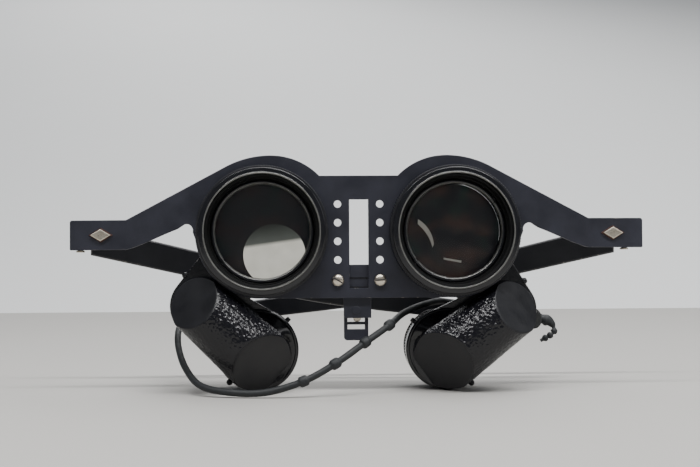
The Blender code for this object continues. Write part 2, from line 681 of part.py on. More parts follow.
def make_strap(name, points, looks, parent):
    route = smooth_route(points, 2.4 * 2 * STRAP_RADIUS)
    curve = bpy.data.curves.new(name, "CURVE")
    curve.dimensions = "3D"
    curve.bevel_depth = STRAP_RADIUS * MM
    curve.bevel_resolution = 2
    curve.use_fill_caps = True
    spline = curve.splines.new("POLY")
    spline.points.add(len(route) - 1)
    for point, place in zip(spline.points, route):
        point.co = (*(place * MM), 1)
    curve.materials.append(looks["rubber"])
    strap = bpy.data.objects.new(name, curve)
    bpy.context.collection.objects.link(strap)
    strap.parent = parent


def main():
    clear_scene()
    looks = make_looks()
    rig = empty("rig", None, (0, -MIDDLE_DEPTH, AXIS_HEIGHT))
    make_front_plate(looks, rig)
    make_nose_bracket(looks, rig)
    for name, side in SIDES.items():
        make_hinge(name, side, looks, rig)
        make_telescope(name, side, looks, rig)
        pivot, middle = make_temple(name, side, looks, rig)
        if name == "left":
            tail = empty("strap_tail_place", pivot, (-side * EYELET_AT, 0, middle))
    make_strap("strap_outer", STRAP_OUTER, looks, rig)
    make_strap("strap_inner", STRAP_INNER, looks, rig)
    make_strap("strap_tail", STRAP_TAIL, looks, tail)


main()
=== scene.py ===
import json
from math import acos, asin, atan2, cos, exp, hypot, log1p, pi, radians, remainder, sin, sqrt, tan

import bmesh
import bpy
from mathutils import Matrix, Vector, noise


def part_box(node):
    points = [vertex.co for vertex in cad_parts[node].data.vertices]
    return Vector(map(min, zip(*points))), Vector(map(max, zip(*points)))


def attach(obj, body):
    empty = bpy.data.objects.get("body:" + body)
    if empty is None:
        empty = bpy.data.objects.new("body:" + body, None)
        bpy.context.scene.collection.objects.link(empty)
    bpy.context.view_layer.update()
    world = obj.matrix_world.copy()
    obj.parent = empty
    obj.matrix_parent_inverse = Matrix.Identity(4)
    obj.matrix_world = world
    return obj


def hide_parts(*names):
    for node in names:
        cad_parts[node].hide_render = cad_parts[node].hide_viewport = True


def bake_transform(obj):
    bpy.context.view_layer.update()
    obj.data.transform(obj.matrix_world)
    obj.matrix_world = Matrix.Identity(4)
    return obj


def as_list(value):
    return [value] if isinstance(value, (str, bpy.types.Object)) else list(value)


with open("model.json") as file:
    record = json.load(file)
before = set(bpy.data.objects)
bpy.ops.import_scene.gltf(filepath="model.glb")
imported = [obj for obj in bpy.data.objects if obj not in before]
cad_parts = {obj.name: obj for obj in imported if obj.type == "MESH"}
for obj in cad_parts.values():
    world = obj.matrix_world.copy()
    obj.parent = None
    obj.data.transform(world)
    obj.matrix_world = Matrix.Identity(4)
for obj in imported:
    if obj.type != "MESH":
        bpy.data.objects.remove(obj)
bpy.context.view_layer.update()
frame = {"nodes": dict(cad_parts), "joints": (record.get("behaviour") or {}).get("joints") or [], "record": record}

# Pieces are drawn in millimetres in the same axes as the frame: X to the right seen from the front,
# Y to the back, Z up, with heights from the objective axes and depths from the plate's front face.
MM = 0.001
GAP = 0.3
SHARP_ANGLE = 34
SHARP_TUBE = 60
SIDES = {"left": -1, "right": 1}
JOINTS = {joint["name"]: joint for joint in frame["joints"]}
RECORD = frame["record"]["behaviour"]
BODIES = {node: body for body, nodes in RECORD["bodies"].items() for node in nodes}


def joint_place(name):
    return Vector(JOINTS[name]["pos_m"])


PLATE_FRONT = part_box("front_plate")[0].y
AXIS_HEIGHT = joint_place("left_swivel").z
RIG = Matrix.Translation((0, PLATE_FRONT, AXIS_HEIGHT))


def in_rig(place):
    """A place in metres given in the drawing's millimetres."""
    return (RIG.inverted() @ Vector(place)) / MM


LENS_X = in_rig(joint_place("right_swivel")).x
HINGE = in_rig(joint_place("right_temple_hinge"))
EYEPIECE_DROP = (joint_place("left_swivel") - joint_place("left_focus_turn")).length / MM

# Plate and nose bracket
SHEET = 1.2
PLATE_HOLE = 19.1
BRIDGE_TOP = 17.9
HUMP_APEX = (28.3, 24.5)
HUMP_INNER = 21.8
HUMP_OUTER = 30.7
RIM_RADIUS = 21.6
PLATE_BOTTOM = -21.5
SLOPE_START = 43.4
LUG_ROOT = 74.5
LUG_END = 92.7
LUG_TOP = 3.9
LUG_BOTTOM = -5.7
LUG_BEND = radians(6.0)
WINDOW = (3.05, -18.3, 10.2)
ROW_X = 6.8
ROW_HOLES = [8.75 - 6.0 * i for i in range(4)]
SCREW_Z = -15.8
SCREW_SLOT = {"left": 32, "right": -3}
STEM_SHIFT = -0.5
TAB_SHIFT = -0.9
SHIELD = (82.6, -0.9)
RIVET_Z = -25.6

# Telescopes: prism corner and eyepiece from the objective axis, outward and up
CORNER = Vector((19.0, -25.0))
FRONT_END = Vector((0.0, -40.5))
EYEPIECE = Vector((0.0, -EYEPIECE_DROP))
SHELF_FRONT = 8.5
SHELF_BACK = 11.5
FRONT_DEPTH = 18.0
REAR_DEPTH = 16.4
FRONT_RADII = (9.3, 10.8)
REAR_RADII = (10.9, 9.6)
COVER_EDGE = 0.5
COVER_LEAST = 0.35
MITRE_SLOPE = 0.86
FLANGE_RADIUS = 13.4
SCREW_EARS = {"upper": (24.8, -15.3), "lower": (8.7, -49.5)}
SET_PIN_TURN = {"left": 47, "right": 142}

# A piece's looks: its faces, then its softened edges
SATIN = ["satin", "satin_edge"]
GLOSS = ["gloss", "gloss_edge"]
NICKEL = ["nickel"] * 2
KNURL = ["knurl"] * 2

# Temples
KNUCKLE = 2.6
PIN = 1.0
TEMPLE_NEAR = 0.6
TEMPLE_FAR = 2.2
TEMPLE_END = 157.0
EYELET_AT = 153.0

# Strap
STRAP_RADIUS = 1.15
BEAD_RADIUS = 1.75
BEAD_SPACING = 11.4
MIDDLE_BEAD = 0.4
STRAP_STEP = 0.4
STRAP_FREE = 66  # the outer run's first points, up to this one, belong with the right temple; nothing here moves them


# ---- Camera, light and stage


def add_object(name, data):
    made = bpy.data.objects.new(name, data)
    bpy.context.collection.objects.link(made)
    return made


def make_camera():
    camera = add_object("camera", bpy.data.cameras.new("camera"))
    camera.data.sensor_width = 36.0
    camera.data.lens = 64.0
    camera.data.clip_start = 0.01
    place = Matrix.Translation((-0.018, PLATE_FRONT - 0.4, AXIS_HEIGHT - 0.010))
    pan = Matrix.Rotation(radians(-2.17), 4, "Z")
    tilt = Matrix.Rotation(radians(91.32), 4, "X")
    roll = Matrix.Rotation(radians(-0.35), 4, "Z")
    camera.matrix_world = place @ pan @ tilt @ roll
    bpy.context.scene.camera = camera


def area_light(name, place, aim, size, power):
    light = bpy.data.lights.new(name, "AREA")
    light.shape = "RECTANGLE"
    light.size, light.size_y = size
    light.energy = power
    made = add_object(name, light)
    made.location = place
    made.rotation_euler = (Vector(aim) - Vector(place)).to_track_quat("-Z", "Y").to_euler()


def make_stage():
    world = bpy.data.worlds.new("studio")
    world.use_nodes = True
    background = world.node_tree.nodes["Background"]
    background.inputs["Color"].default_value = (0.76, 0.80, 0.88, 1)
    background.inputs["Strength"].default_value = 0.2
    bpy.context.scene.world = world
    area_light("overhead", (0.25, -0.1, 1.0), (0, 0.02, 0), (1.2, 1.0), 6.0)
    area_light("ceiling_strip", (0.0, -0.42, 0.80), (0, 0, 0.03), (1.3, 0.06), 11.0)
    area_light("back_wash", (0.1, 1.4, 1.4), (0, 1.35, 0.15), (3.0, 1.0), 30.0)
    area_light("side_fill", (0.9, -0.45, 0.5), (0, 0, 0.04), (0.5, 0.5), 1.2)
    # The backdrop is a gentle ramp, so that it doesn't stand before a camera behind the object.
    edge, far, rise = 0.66, 3.96, 1.2
    for name, colour, corners in (
        ("floor", (0.45, 0.438, 0.415), [(-3, -1.6, 0), (3, -1.6, 0), (3, edge, 0), (-3, edge, 0)]),
        ("wall", (0.78, 0.79, 0.785), [(-5, edge, 0), (5, edge, 0), (5, far, rise), (-5, far, rise)]),
    ):
        mesh = bpy.data.meshes.new(name)
        mesh.from_pydata(corners, [], [(0, 1, 2, 3)])
        look = Look(f"stage_{name}", colour, 0.75)
        patches = look.noise(0.004, 3)
        look.colour(look.mix(patches, [c * 0.97 for c in colour], colour))
        mesh.materials.append(look.material)
        add_object(name, mesh)


# ---- Materials


class Look:
    """A procedural material: the Principled shader and the nodes that feed it, in millimetres."""

    def __init__(self, name, colour, roughness, metallic=0.0, specular=0.5, **sockets):
        self.material = bpy.data.materials.new(name)
        self.material.use_nodes = True
        self.tree = self.material.node_tree
        self.shader = self.tree.nodes["Principled BSDF"]
        self.shader.inputs["Base Color"].default_value = (*colour, 1.0)
        self.shader.inputs["Roughness"].default_value = roughness
        self.shader.inputs["Metallic"].default_value = metallic
        self.shader.inputs["Specular IOR Level"].default_value = specular
        for key, value in sockets.items():
            self.shader.inputs[key.replace("_", " ")].default_value = value
        self.places = {}
        self.normal = None

    def add(self, kind, settings=None, **inputs):
        node = self.tree.nodes.new(f"ShaderNode{kind}")
        for key, value in (settings or {}).items():
            setattr(node, key, value)
        for key, value in inputs.items():
            self.feed(node.inputs[key], value)
        return node

    def feed(self, socket, value):
        if isinstance(value, bpy.types.NodeSocket):
            self.tree.links.new(value, socket)
        elif socket.type == "RGBA" and len(value) == 3:
            socket.default_value = (*value, 1.0)
        else:
            socket.default_value = value

    def place(self, stretch=(1, 1, 1)):
        """The piece's own coordinates in millimetres."""
        if stretch not in self.places:
            own = self.add("TexCoord").outputs["Object"]
            scale = [1000 * s for s in stretch]
            self.places[stretch] = self.add("Mapping", Vector=own, Scale=scale).outputs["Vector"]
        return self.places[stretch]

    def noise(self, scale, detail=2.0, stretch=(1, 1, 1), rough=0.5):
        inputs = {"Vector": self.place(stretch), "Scale": scale, "Detail": detail, "Roughness": rough}
        return self.add("TexNoise", None, **inputs).outputs["Fac"]

    def cells(self, scale):
        settings = {"feature": "SMOOTH_F1"}
        return self.add("TexVoronoi", settings, Vector=self.place(), Scale=scale).outputs["Distance"]

    def ramp(self, value, low, high, start=0.0, end=1.0):
        """A value stretched so that low becomes start and high becomes end, and held beyond."""
        inputs = {"Value": value, "From Min": low, "From Max": high, "To Min": start, "To Max": end}
        return self.add("MapRange", {"clamp": True}, **inputs).outputs["Result"]

    def maths(self, operation, first, second):
        node = self.add("Math", {"operation": operation})
        self.feed(node.inputs[0], first)
        self.feed(node.inputs[1], second)
        return node.outputs[0]

    def mix(self, share, first, second):
        node = self.add("Mix", {"data_type": "RGBA"})
        for index, value in ((0, share), (6, first), (7, second)):
            self.feed(node.inputs[index], value)
        return node.outputs[2]

    def colour(self, value):
        self.feed(self.shader.inputs["Base Color"], value)

    def roughness(self, value):
        self.feed(self.shader.inputs["Roughness"], value)

    def metallic(self, value):
        self.feed(self.shader.inputs["Metallic"], value)

    def bump(self, height, depth, strength=1.0):
        """Relief of a depth in millimetres, laid over any relief given before."""
        node = self.add("Bump", None, Height=height, Distance=depth * MM, Strength=strength)
        if self.normal:
            self.feed(node.inputs["Normal"], self.normal)
        self.normal = node.outputs["Normal"]
        self.feed(self.shader.inputs["Normal"], self.normal)


def enamel(name, colour, roughness, peel=0.02, dust=0.12, specular=0.5):
    """Black stoving enamel: orange peel, smudges and a scatter of dust."""
    look = Look(name, colour, roughness, specular=specular)
    smudge = look.noise(0.09, 4, rough=0.6)
    specks = look.ramp(look.noise(3.1, 1), 0.755, 0.80)
    drifts = look.ramp(look.noise(0.16, 3), 0.45, 0.75)
    dusty = look.maths("MULTIPLY", look.maths("MULTIPLY", specks, drifts), dust)
    tone = look.mix(look.ramp(smudge, 0.35, 0.7), [c * 0.8 for c in colour], [c * 1.25 for c in colour])
    look.colour(look.mix(dusty, tone, (0.42, 0.41, 0.39)))
    look.roughness(look.ramp(smudge, 0.3, 0.75, roughness * 0.82, roughness * 1.3))
    look.bump(look.noise(0.9, 2), peel)
    return look.material


def worn_edge(name, colour, roughness, metal=(0.42, 0.38, 0.33), cover=0.52):
    """Enamel rubbed through to the metal in patches, for edges."""
    look = Look(name, colour, roughness)
    patches = look.maths("MULTIPLY", look.noise(0.22, 3, rough=0.6), look.noise(1.7, 3, rough=0.7))
    bare = look.ramp(patches, cover * 0.5, cover * 0.5 + 0.10)
    look.colour(look.mix(bare, [c * 1.3 for c in colour], metal))
    look.metallic(look.ramp(bare, 0, 1, 0.0, 0.85))
    look.roughness(look.ramp(bare, 0, 1, roughness, 0.38))
    look.bump(look.noise(2.5, 2), 0.02)
    return look.material


def crinkle_enamel():
    """Crinkle enamel: rounded cells with sharp folds between them, over the mesh's own relief."""
    look = Look("crinkle_enamel", (0.006, 0.006, 0.008), 0.15, specular=0.42)
    folds = look.cells(1.15)
    fine = look.noise(2.4, 3, rough=0.6)
    look.bump(look.maths("ADD", folds, look.maths("MULTIPLY", fine, 0.5)), 0.12)
    look.roughness(look.ramp(look.noise(0.7, 2), 0.3, 0.7, 0.17, 0.24))
    # Painted shade: the colour is darker in the cells' hollows than on the raised folds.
    look.colour(look.mix(look.ramp(folds, 0.1, 0.7), (0.004, 0.004, 0.006), (0.007, 0.007, 0.009)))
    return look.material


def plated(name, colour, roughness, brown=(0.20, 0.13, 0.07), stain=0.5):
    """Nickel or steel with fine scratches and tarnish."""
    look = Look(name, colour, roughness, 1.0)
    tarnish = look.ramp(look.noise(0.55, 4, rough=0.6), 0.5, 0.78, 0.0, stain)
    look.colour(look.mix(tarnish, colour, brown))
    scratches = look.noise(1.2, 3, (0.3, 1, 6))
    look.roughness(look.ramp(scratches, 0.3, 0.7, roughness * 0.75, roughness * 1.4))
    look.bump(scratches, 0.015)
    return look.material


def optical_glass(name, tint=(0.96, 0.97, 0.98)):
    """Bloomed glass, whose coating leaves a weak reflection, with faint uneven staining."""
    look = Look(name, tint, 0.0, Transmission_Weight=1.0, IOR=1.13)
    bloom = look.ramp(look.noise(0.10, 3), 0.3, 0.8)
    look.colour(look.mix(bloom, tint, [c * 0.95 for c in tint]))
    return look.material


def rubber(name, colour=(0.0105, 0.0125, 0.0140)):
    look = Look(name, colour, 0.6)
    mottled = look.noise(0.5, 4, rough=0.65)
    bloom = look.ramp(look.noise(1.6, 3), 0.5, 0.8, 0.0, 0.35)
    tone = look.mix(look.ramp(mottled, 0.3, 0.7), [c * 0.7 for c in colour], [c * 1.35 for c in colour])
    look.colour(look.mix(bloom, tone, (0.027, 0.030, 0.032)))
    look.roughness(look.ramp(mottled, 0.3, 0.7, 0.5, 0.72))
    look.bump(look.noise(3.5, 3), 0.05)
    return look.material


def bakelite():
    look = Look("black_bakelite", (0.012, 0.011, 0.011), 0.24)
    swirl = look.noise(0.25, 4, (1, 3, 1))
    look.colour(look.mix(look.ramp(swirl, 0.35, 0.7), (0.010, 0.009, 0.009), (0.022, 0.017, 0.015)))
    look.roughness(look.ramp(look.noise(0.4, 3), 0.3, 0.7, 0.18, 0.34))
    look.bump(look.noise(1.2, 2), 0.01)
    return look.material


def painted_light_view(name, glow, low, high, level, tilt):
    """A painted glow standing in for the light seen through the prisms: pale below, darker above a soft level
    line, given out as emission.
    """
    look = Look(name, (0.01, 0.01, 0.01), 0.6)
    parts = look.add("SeparateXYZ", None, Vector=look.place())
    line = look.maths("ADD", parts.outputs["Z"], look.maths("MULTIPLY", parts.outputs["X"], tilt))
    share = look.ramp(line, level - 0.7, level + 0.5)
    upper = look.mix(look.ramp(line, level, level + 5.5), high, [c * 0.22 for c in high])
    cloud = look.ramp(look.noise(0.25, 3), 0.3, 0.7, 0.88, 1.0)
    shade = look.mix(share, low, upper)
    look.feed(look.shader.inputs["Emission Color"], look.mix(cloud, (0, 0, 0), shade))
    look.shader.inputs["Emission Strength"].default_value = glow
    return look.material


def prism_painted_reflections(name, warm, cool, glow):
    """The prism's dark glass behind an objective, with faint warm and cool internal reflections painted on as a
    glow of emission.
    """
    look = Look(name, (0.004, 0.004, 0.004), 0.5)
    bands = look.ramp(look.noise(0.10, 3, (1, 1, 1.6)), 0.46, 0.66)
    green = look.ramp(look.noise(0.15, 2, (1.5, 1, 0.8)), 0.5, 0.68)
    tint = look.mix(green, (0.003, 0.003, 0.004), cool)
    look.feed(look.shader.inputs["Emission Color"], look.mix(bands, tint, warm))
    look.shader.inputs["Emission Strength"].default_value = glow
    return look.material


def make_looks():
    black = (0.0165, 0.0175, 0.0270)
    gloss = (0.0075, 0.0077, 0.0095)
    cover = (0.0072, 0.0074, 0.0094)
    strip = (0.0046, 0.0050, 0.0068)
    # pale and dim are emission colours of the painted glow for the view through the prisms
    pale, dim = (0.50, 0.48, 0.42), (0.085, 0.093, 0.080)
    return {
        "satin": enamel("satin_black_sheet", black, 0.46, 0.03, 0.12, specular=0.42),
        "satin_edge": worn_edge("satin_black_edge", black, 0.4, cover=0.62),
        "gloss": enamel("gloss_black_enamel", gloss, 0.14, 0.012, 0.10),
        "gloss_edge": worn_edge("gloss_black_edge", gloss, 0.14, (0.46, 0.44, 0.41), 0.56),
        "inner": enamel("black_bore", (0.0070, 0.0072, 0.0074), 0.62, 0.01, 0.0, specular=0.12),
        "lip": plated("dull_metal_lip", (0.21, 0.21, 0.20), 0.42, (0.05, 0.045, 0.04)),
        "knurl": enamel("knurled_enamel", (0.009, 0.009, 0.012), 0.4, 0.01, 0.1),
        "crinkle": crinkle_enamel(),
        "cover_face": enamel("cover_face_enamel", cover, 0.46, 0.012, 0.05, specular=0.42),
        "nickel": plated("nickel_plate", (0.66, 0.60, 0.50), 0.30),
        "steel": plated("dark_steel", (0.11, 0.11, 0.12), 0.36, (0.05, 0.04, 0.035)),
        "primer": enamel("red_brown_primer", (0.055, 0.018, 0.012), 0.6, 0.02, 0.0),
        "glass": optical_glass("optical_glass"),
        "prism_glass": optical_glass("prism_glass", (0.93, 0.95, 0.93)),
        "bakelite": bakelite(),
        "temple": enamel("black_temple_strip", strip, 0.40, 0.02, 0.10, specular=0.3),
        "temple_edge": worn_edge("temple_strip_edge", (0.009, 0.009, 0.011), 0.30, cover=0.66),
        "rubber": rubber("grey_green_rubber"),
        "tip_rubber": rubber("black_tip_rubber", (0.010, 0.011, 0.011)),
        # Painted light: glowing discs in the barrels stand in for the view through the prisms; the right one also
        # carries a thin bar of painted reflection
        "left_field": painted_light_view("left_field", 1.0, (0.66, 0.64, 0.56), dim, -4.0, -0.19),
        "right_field": painted_light_view("right_field", 0.36, pale, pale, 90, 0.0),
        # Painted reflections: the prisms' dark glass glows faintly warm and cool by emission
        "left_depths": prism_painted_reflections("left_depths", (0.011, 0.006, 0.006), (0.002, 0.005, 0.005), 0.7),
        "right_depths": prism_painted_reflections("right_depths", (0.024, 0.012, 0.009), (0.003, 0.009, 0.007), 0.8),
    }


# ---- Shapes


def arc(centre, radius, start, end, steps):
    turns = [start + (end - start) * i / steps for i in range(steps + 1)]
    return [(centre[0] + radius * cos(a), centre[1] + radius * sin(a)) for a in turns]


def circle(x, z, radius, steps=48):
    return arc((x, z), radius, 0, 2 * pi * (1 - 1 / steps), steps - 1)


def clamped(value):
    return max(0.0, min(1.0, value))


def mirrored(points, side):
    return [(side * p, q) for p, q in points]


def both_sides(right):
    """A whole outline from its right half."""
    return right + mirrored(right, -1)[::-1]


def hull_outline(start, start_radius, end, end_radius, steps=40):
    """The outline of two circles and their outer tangents."""
    line = end - start
    heading = atan2(line.y, line.x)
    spread = acos((start_radius - end_radius) / line.length)
    back = arc(start, start_radius, heading + spread, heading + 2 * pi - spread, steps)
    return back + arc(end, end_radius, heading - spread, heading + spread, steps)


def filleted(points, radius, steps=3):
    """A closed outline with rounded corners, apart from those on the axis. Also says which are curved."""
    rounded, curved = [], []
    for i, point in enumerate(points):
        here = Vector(point)
        before, after = Vector(points[i - 1]) - here, Vector(points[(i + 1) % len(points)]) - here
        if here.x == 0 or radius == 0:
            rounded.append(here)
            curved.append(False)
            continue
        first = here + before.normalized() * min(radius, 0.42 * before.length)
        last = here + after.normalized() * min(radius, 0.42 * after.length)
        for k in range(steps + 1):
            t = k / steps
            rounded.append(first.lerp(here, t).lerp(here.lerp(last, t), t))
            curved.append(k < steps)
    return rounded, curved


def turned(profile, centre=(0.0, 0.0), segments=144, axis="Y", fillet=0.12, shape=None):
    """A turned solid from a closed loop of (radius, place along the axis), with softened corners.

    The corners' faces take the second material. shape(radius, along, angle) may move a point.
    """
    points, curved = filleted(profile, fillet)
    bm = bmesh.new()
    loops = []
    for radius, along in points:
        loop = []
        for i in range(segments if radius else 1):
            a = 2 * pi * i / segments
            r, y = shape(radius, along, a) if shape else (radius, along)
            p, q = centre[0] + r * cos(a), centre[1] + r * sin(a)
            loop.append(bm.verts.new((p, y, q) if axis == "Y" else (p, q, y)))
        loops.append(loop)
    for k, here in enumerate(loops):
        there = loops[(k + 1) % len(loops)]
        if len(here) == len(there) == 1:
            continue
        for i in range(segments):
            j = (i + 1) % segments
            corners = [here[i % len(here)], here[j % len(here)]]
            corners += [there[j % len(there)], there[i % len(there)]]
            face = bm.faces.new(list(dict.fromkeys(corners)))
            face.material_index = int(curved[k])
    return bm


def knurled(teeth, depth, from_radius):
    """A turned shape's ripple: teeth round every point beyond a radius."""

    def shape(radius, along, angle):
        ripple = 0.5 - 0.5 * cos(teeth * angle)
        return radius - (depth * ripple if radius > from_radius else 0), along

    return shape


def signed_area(loop):
    pairs = zip(loop, loop[1:] + loop[:1])
    return sum(p[0] * q[1] - q[0] * p[1] for p, q in pairs) / 2


def sheet_metal(outline, holes, near, far, axis="Y", edge=0.12):
    """A flat sheet between two depths, with its holes. Its softened edges take the second material."""
    curve = bpy.data.curves.new("sheet", "CURVE")
    curve.dimensions = "2D"
    curve.fill_mode = "BOTH"
    curve.extrude = (far - near) / 2 - edge
    curve.bevel_depth = edge
    curve.bevel_resolution = 1
    curve.offset = -edge
    for index, loop in enumerate([outline, *holes]):
        wanted = 1 if index == 0 else -1
        if signed_area(loop) * wanted < 0:
            loop = loop[::-1]
        spline = curve.splines.new("POLY")
        spline.points.add(len(loop) - 1)
        for point, (x, z) in zip(spline.points, loop):
            point.co = (x, z, 0, 1)
        spline.use_cyclic_u = True
    holder = add_object("sheet", curve)
    graph = bpy.context.evaluated_depsgraph_get()
    mesh = bpy.data.meshes.new_from_object(holder.evaluated_get(graph))
    bpy.data.objects.remove(holder)
    bm = bmesh.new()
    bm.from_mesh(mesh)
    bpy.data.meshes.remove(mesh)
    bmesh.ops.remove_doubles(bm, verts=bm.verts, dist=0.002)
    for face in bm.faces:
        face.material_index = int(0.15 < abs(face.normal.z) < 0.97)
    for line in bm.edges:
        line.seam = len({abs(face.normal.z) > 0.999 for face in line.link_faces}) == 2
    middle = (near + far) / 2
    for vert in bm.verts:
        x, z, depth = vert.co
        vert.co = (x, middle + depth, z) if axis == "Y" else (x, z, middle + depth)
    return bm


def merged(*pieces):
    whole = pieces[0]
    for other in pieces[1:]:
        mesh = bpy.data.meshes.new("merged")
        other.to_mesh(mesh)
        other.free()
        whole.from_mesh(mesh)
        bpy.data.meshes.remove(mesh)
    return whole


def from_drawing(name, bm, looks, placing):
    """An object of a drawing in millimetres, whose faces already point outwards."""
    bmesh.ops.scale(bm, vec=(MM, MM, MM), verts=bm.verts)
    mesh = bpy.data.meshes.new(name)
    bm.to_mesh(mesh)
    bm.free()
    for look in looks:
        mesh.materials.append(LOOKS[look])
    made = add_object(name, mesh)
    made.matrix_world = placing
    return made


def piece(name, bm, looks, placing=RIG, body=None, node=None, sharp=SHARP_ANGLE):
    """A piece of the object, on its own body or on that of the CAD node that it replaces."""
    bmesh.ops.recalc_face_normals(bm, faces=bm.faces)
    for line in bm.edges:
        joined = len(line.link_faces) == 2 and not line.seam
        line.smooth = joined and line.calc_face_angle() < radians(sharp)
        line.seam = False
    for face in bm.faces:
        face.smooth = True
    made = from_drawing(name, bm, looks, placing)
    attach(made, body or BODIES[node])
    if node:
        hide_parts(node)
    return made


def stand_in(node, ending, bm, looks, placing=RIG, sharp=SHARP_ANGLE):
    """A piece in place of a CAD node, named after it."""
    return piece(f"{node}_{ending}", bm, looks, placing, node=node, sharp=sharp)


def shifted(placing, x, y, z):
    """A placing moved to a point of its drawing."""
    return placing @ Matrix.Translation(Vector((x, y, z)) * MM)


def cut(obj, bm):
    """Cuts a drawing out of a piece, in the piece's own coordinates, and applies it."""
    bmesh.ops.recalc_face_normals(bm, faces=bm.faces)
    cutter = from_drawing("cutter", bm, [], obj.matrix_world)
    modifier = obj.modifiers.new("cut", "BOOLEAN")
    modifier.operation = "DIFFERENCE"
    modifier.object = cutter
    graph = bpy.context.evaluated_depsgraph_get()
    result = bpy.data.meshes.new_from_object(obj.evaluated_get(graph))
    obj.modifiers.clear()
    old = obj.data
    obj.data = result
    bpy.data.meshes.remove(old)
    bpy.data.objects.remove(cutter)
    obj.data.set_sharp_from_angle(angle=radians(SHARP_ANGLE))


def block(low, high):
    bm = bmesh.new()
    bmesh.ops.create_cube(bm, size=1)
    size = Vector(high) - Vector(low)
    for vert in bm.verts:
        vert.co = [l + s * (c + 0.5) for l, s, c in zip(low, size, vert.co)]
    return bm


# ---- Strap

# The same route points as the CAD tubes, in millimetres; the tail's are from the left eyelet.
STRAP_OUTER = (
    (-56.8, 48.2, -28.9), (-58.0, 45.0, -29.2), (-59.8, 37.6, -30.4), (-60.6, 28.0, -32.9),
    (-59.6, 17.0, -37.8), (-56.2, 5.0, -43.8), (-50.6, -5.0, -48.6), (-41.6, -10.8, -50.2),
    (-30.0, -13.0, -50.2), (-18.0, -13.2, -46.8), (-8.0, -11.0, -41.6), (1.2, -7.0, -35.6),
)
STRAP_INNER = (
    (1.8, -6.6, -35.2), (9.4, -1.0, -30.4), (14.0, 8.0, -27.4), (18.0, 17.0, -26.0),
    (23.4, 24.0, -24.5), (30.0, 29.4, -23.6), (37.0, 30.6, -25.6), (42.0, 30.3, -27.4),
    (49.0, 30.3, -28.7), (53.8, 30.9, -29.4), (56.6, 32.2, -29.7),
)
STRAP_TAIL = (
    (0.0, 4.9, 0.0), (2.8, 5.9, -0.1), (7.0, 6.2, -0.6), (11.6, 5.4, -2.2), (12.6, 4.0, -5.6),
    (7.8, 3.2, -8.6),
)


def smooth_route(points):
    """Evenly spaced points along a Catmull-Rom curve through a listed route, and its length."""
    points = [Vector(p) for p in points]
    ends = [2 * points[0] - points[1], *points, 2 * points[-1] - points[-2]]
    fine = []
    for a, b, c, d in zip(ends, ends[1:], ends[2:], ends[3:]):
        for i in range(24):
            t = i / 24
            square, cube = 2 * a - 5 * b + 4 * c - d, 3 * b - a - 3 * c + d
            fine.append(0.5 * (2 * b + (c - a) * t + square * t**2 + cube * t**3))
    fine.append(points[-1])
    lengths = [0.0]
    for p, q in zip(fine, fine[1:]):
        lengths.append(lengths[-1] + (q - p).length)
    count = max(2, round(lengths[-1] / STRAP_STEP))
    route, at = [], 0
    for i in range(count + 1):
        wanted = lengths[-1] * i / count
        while at < len(fine) - 2 and lengths[at + 1] < wanted:
            at += 1
        share = (wanted - lengths[at]) / (lengths[at + 1] - lengths[at])
        route.append(fine[at].lerp(fine[at + 1], min(1.0, share)))
    return route, lengths[-1]


def bridge(bm, loops, material=0):
    """Joins each loop of points to the next with a band of faces."""
    for here, there in zip(loops, loops[1:]):
        for k in range(len(here)):
            m = (k + 1) % len(here)
            bm.faces.new((here[k], here[m], there[m], there[k])).material_index = material


def tube(route, radius_at, sides=20):
    """A closed tube along a route, with its own radius at each distance."""
    bm = bmesh.new()
    loops, travelled = [], 0.0
    across = Vector((0, 0, 1))
    for i, here in enumerate(route):
        ahead = (route[min(i + 1, len(route) - 1)] - route[max(i - 1, 0)]).normalized()
        across = (across - ahead * across.dot(ahead)).normalized()
        other = ahead.cross(across)
        travelled += (here - route[i - 1]).length if i else 0.0
        radius = radius_at(travelled)
        turns = [2 * pi * k / sides for k in range(sides)]
        ring = [here + radius * (cos(a) * across + sin(a) * other) for a in turns]
        loops.append([bm.verts.new(spot) for spot in ring])
    bridge(bm, loops)
    bm.faces.new(loops[0])
    bm.faces.new(loops[-1])
    return bm


def beads(places, body=STRAP_RADIUS - 0.05, peak=BEAD_RADIUS, half=1.55):
    """The strap's radius at a distance: a plain cord with a short round bead at each of the places."""

    def radius_at(distance):
        near = min(abs(distance - place) for place in places) / half
        swell = sqrt(max(0.0, 1 - near**4))
        plain = body + 0.05 * noise.noise(Vector((distance * 0.35, places[0], 0)))
        return plain + (peak - body) * swell

    return radius_at


def tail_radius(distance):
    """The strap's end: a thick knotted start that thins into a small beaded tip."""
    share = clamped((distance - 12.0) / 2.6)
    knot = 1.85 + 0.2 * sin(distance * 1.9)
    return knot + (beads([16.0, 18.1, 20.1], 0.6, 1.2, 0.8)(distance) - knot) * share


def make_strap():
    eyelet = temple_place("left") @ (Vector((EYELET_AT, 0, temple_middle(EYELET_AT))) * MM)
    route, _ = smooth_route(STRAP_TAIL)
    bm, placing = tube(route, tail_radius), Matrix.Translation(eyelet)
    tail = stand_in("strap_tail", "cord", bm, ["rubber"], placing, SHARP_TUBE)
    for name, points, end, extra in (
        ("strap_outer", STRAP_OUTER, "knot", []),
        ("strap_inner", STRAP_INNER, "object", [tail]),
    ):
        route, length = smooth_route(points)
        if name == "strap_outer":
            places = [length - MIDDLE_BEAD - BEAD_SPACING * i for i in (1, 2)]
        else:
            places = [BEAD_SPACING - MIDDLE_BEAD]
        world = [RIG @ (p * MM) for p in route]
        made = blended(name, tube(route, beads(places)), world)
        tuple(world[0])
        [tuple(p) for p in world]
        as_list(extra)
    make_middle_bead()


